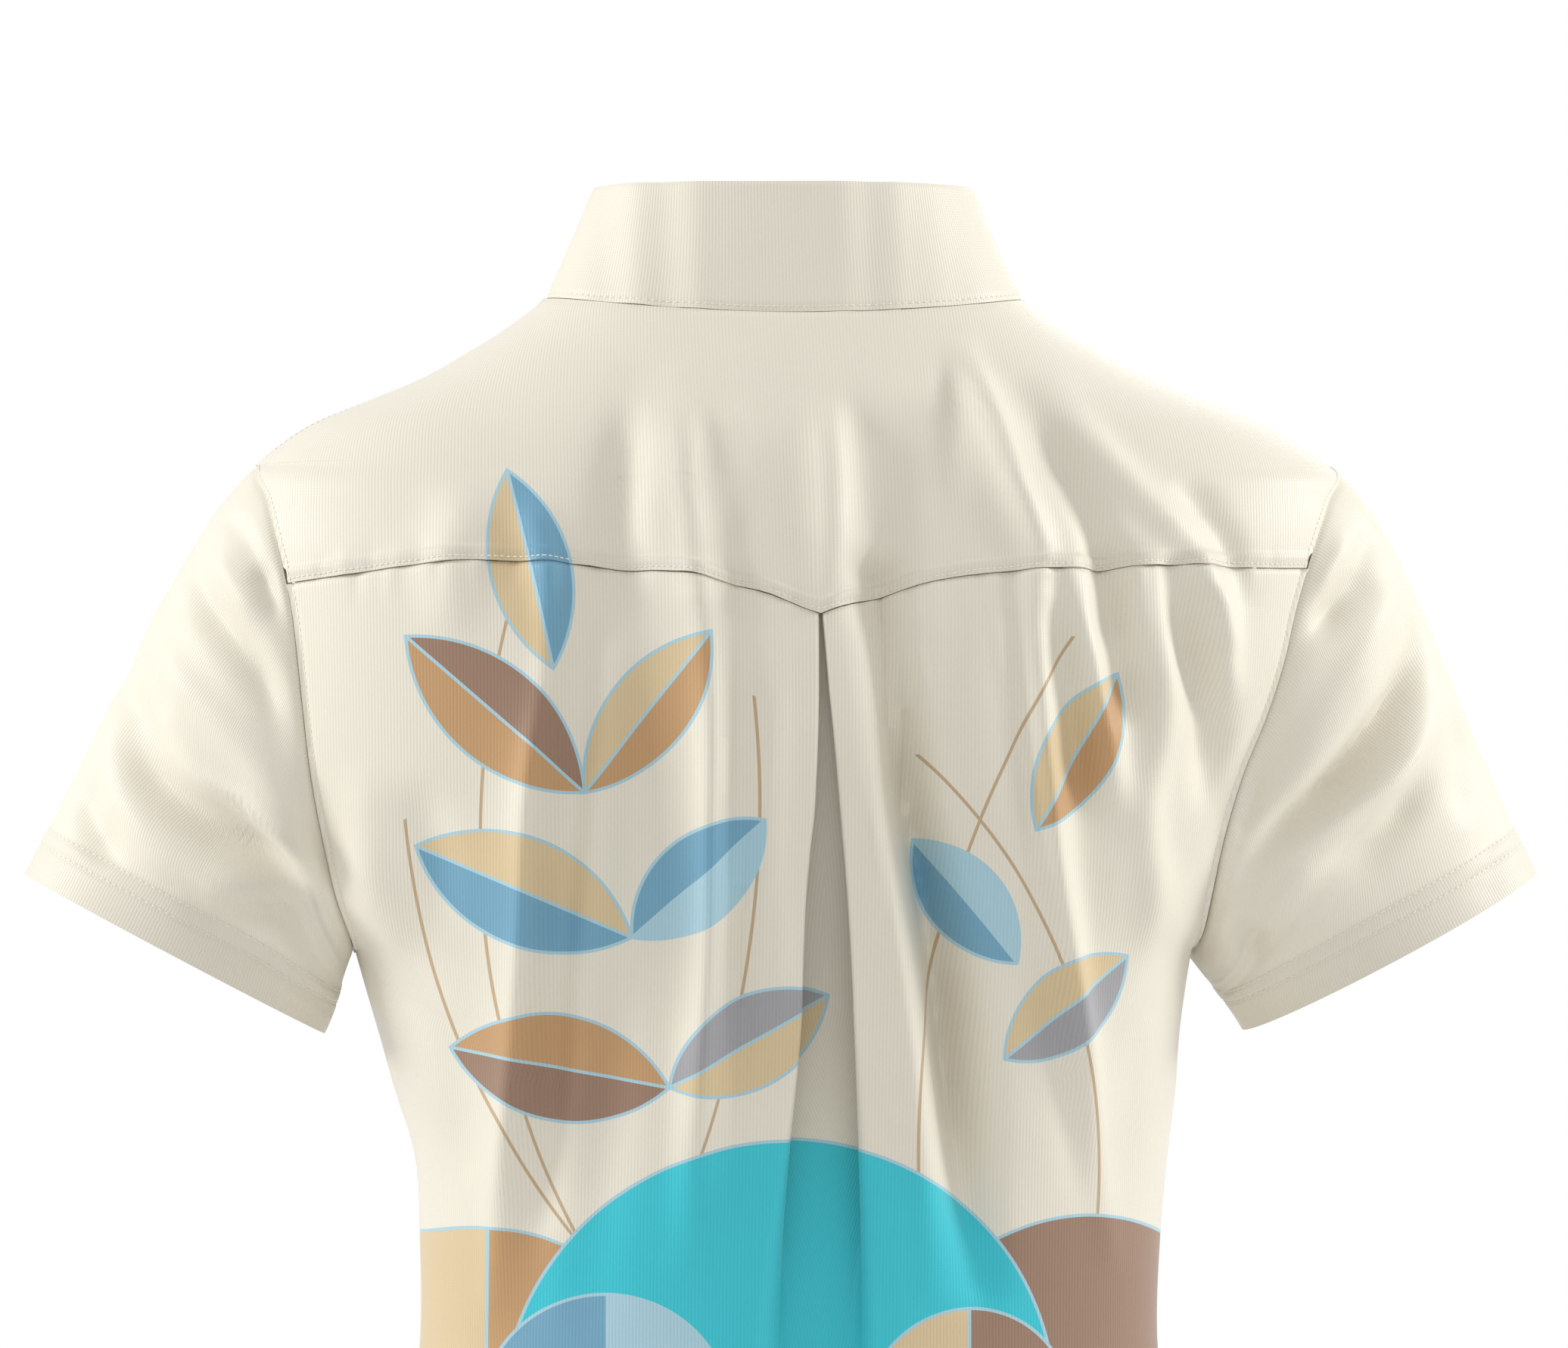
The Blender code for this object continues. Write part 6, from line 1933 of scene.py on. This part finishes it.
def thread_bars(number):
    """The two bars of thread that hold a button, through its four holes."""
    sizes = shirt().button
    top = (BUTTON_HEIGHT - BUTTON_DISH) * MM
    thick = BUTTON_THREAD * MM
    bars = []
    for side in (1, -1):
        for strand in (-1, 0, 1):
            bpy.ops.mesh.primitive_uv_sphere_add(
                segments=10, ring_count=8, radius=0.5,
                location=(0, side * sizes.spacing / 2 + strand * STRAND_SPACING * thick,
                          top + STRAND_RISE * thick * (1 - abs(strand))),
                scale=(sizes.spacing + sizes.hole * STRAND_REACH, thick, STRAND_HEIGHT * thick))
            bars.append(bpy.context.object)
    for bar in bars:
        bar.select_set(True)
    bpy.context.view_layer.objects.active = bars[0]
    bpy.ops.object.join()
    thread = bpy.context.object
    thread.name = thread.data.name = f"button_{number}_thread"
    bpy.ops.object.shade_smooth()
    return thread


def set_in_place(piece, seat, way):
    """Moves a piece's mesh to its seat, facing out, and leaves its object at the origin."""
    turn = Vector((0, 0, 1)).rotation_difference(Vector(way)).to_matrix().to_4x4()
    piece.data.transform(Matrix.Translation(Vector(seat) * MM) @ turn @ piece.matrix_world)
    piece.matrix_world = Matrix.Identity(4)
    piece.data.update()


class SHIRT_OT_buttons(bpy.types.Operator):
    """Make the three sewn buttons of the front opening"""
    bl_idname = "golf_shirt.buttons"
    bl_label = "Buttons"

    def execute(self, context):
        for number, (seat, way) in enumerate(zip(*button_seats()), start=1):
            button = turn_button(number)
            set_in_place(button, seat, way)
            give(button, material_named("button_resin", button_material), "button",
                 f"button_{number}")
            thread = thread_bars(number)
            set_in_place(thread, seat, way)
            give(thread, material_named("thread", thread_material), "button")
        return {"FINISHED"}


def add_light(name, place, aim, size, power):
    """A soft square light that faces a point."""
    data = bpy.data.lights.new(name, "AREA")
    data.size = size
    data.energy = power
    light = bpy.data.objects.new(name, data)
    light.location = place
    light.rotation_euler = (Vector(aim) - Vector(place)).to_track_quat("-Z", "Y").to_euler()
    bpy.context.scene.collection.objects.link(light)


class SHIRT_OT_stage(bpy.types.Operator):
    """Set up the floor, the lights, the world and the camera"""
    bl_idname = "golf_shirt.stage"
    bl_label = "Stage"

    def execute(self, context):
        sizes = shirt().stage
        self.add_camera(sizes)
        self.add_floor(sizes)
        self.add_world(sizes)
        out, back, up = SIDE_LIGHT_PLACE
        for side in (1, -1):
            add_light(f"side_light_{side}", (side * out, back, up), SIDE_LIGHT_AIM,
                      SIDE_LIGHT_SIZE, sizes.side_light)
        add_light("front_light", FRONT_LIGHT_PLACE, FRONT_LIGHT_AIM, FRONT_LIGHT_SIZE,
                  sizes.front_light)
        context.scene.view_settings.view_transform = "Standard"
        return {"FINISHED"}

    def add_camera(self, sizes):
        """The camera stands behind the shirt, a little to its wearer's left."""
        data = bpy.data.cameras.new("camera")
        data.sensor_width = SENSOR
        data.lens = SENSOR * sizes.distance / (VIEW_WIDTH * MM)
        camera = bpy.data.objects.new("camera", data)
        target = Vector(VIEW_MIDDLE) * MM
        away = Vector((math.sin(sizes.turn), math.cos(sizes.turn), 0))
        camera.location = target + away * sizes.distance
        camera.rotation_euler = (-away).to_track_quat("-Z", "Y").to_euler()
        bpy.context.scene.collection.objects.link(camera)
        bpy.context.scene.camera = camera

    def add_floor(self, sizes):
        """A round pale floor a little under the hem, too small for the camera to see."""
        bpy.ops.mesh.primitive_circle_add(
            vertices=96, radius=FLOOR_RADIUS, fill_type="NGON", location=(0, 0, FLOOR_LEVEL * MM))
        floor = bpy.context.object
        floor.name = "floor"
        material, tree, shader = new_material("floor", sizes.floor_colour, FLOOR_ROUGHNESS)
        speckle = noise_node(tree, object_place(tree), 40.0, 4.0)
        rough = math_node(tree, "MULTIPLY_ADD", speckle, FLOOR_SPECKLE,
                          FLOOR_ROUGHNESS - FLOOR_SPECKLE / 2)
        fill_in(tree, shader, Roughness=rough)
        floor.data.materials.append(material)

    def add_world(self, sizes):
        """White to the camera, and a softer light all round."""
        world = bpy.data.worlds.new("studio")
        bpy.context.scene.world = world
        world.use_nodes = True
        tree = world.node_tree
        seen = tree.nodes.new("ShaderNodeLightPath").outputs["Is Camera Ray"]
        strength = math_node(tree, "MULTIPLY_ADD", seen, 1 - sizes.fill, sizes.fill)
        fill_in(tree, tree.nodes["Background"], Color=(1.0, 1.0, 1.0), Strength=strength)


class SHIRT_PT_panel(bpy.types.Panel):
    """The shirt's settings and its pieces in the 3D view's sidebar"""
    bl_idname = "SHIRT_PT_panel"
    bl_label = "Golf Shirt"
    bl_space_type = "VIEW_3D"
    bl_region_type = "UI"
    bl_category = "Golf Shirt"

    def draw(self, context):
        settings = context.scene.golf_shirt
        for name in ("cloth", "print", "sewing", "button", "stage"):
            box = self.layout.box()
            box.label(text=name.capitalize())
            group = getattr(settings, name)
            for row in group.bl_rna.properties:
                if row.identifier not in ("rna_type", "name"):
                    box.prop(group, row.identifier)
        for operator in OPERATORS:
            self.layout.operator(operator.bl_idname)


OPERATORS = (SHIRT_OT_yoke, SHIRT_OT_collar, SHIRT_OT_back, SHIRT_OT_front, SHIRT_OT_sleeves,
             SHIRT_OT_bands, SHIRT_OT_buttons, SHIRT_OT_stage)
CLASSES = (ClothSettings, PrintSettings, SewingSettings, ButtonSettings, StageSettings,
           ShirtSettings, *OPERATORS, SHIRT_PT_panel)


def register():
    """Registers the classes and hangs the settings on the scene."""
    for kind in CLASSES:
        bpy.utils.register_class(kind)
    bpy.types.Scene.golf_shirt = PointerProperty(type=ShirtSettings)


def unregister():
    """Takes the settings off the scene and unregisters the classes."""
    del bpy.types.Scene.golf_shirt
    for kind in reversed(CLASSES):
        bpy.utils.unregister_class(kind)


def main():
    """Dresses the shirt: each piece, then the stage."""
    register()
    bpy.ops.golf_shirt.yoke()
    bpy.ops.golf_shirt.collar()
    bpy.ops.golf_shirt.back()
    bpy.ops.golf_shirt.front()
    bpy.ops.golf_shirt.sleeves()
    bpy.ops.golf_shirt.bands()
    bpy.ops.golf_shirt.buttons()
    bpy.ops.golf_shirt.stage()


if __name__ == "__main__":
    main()
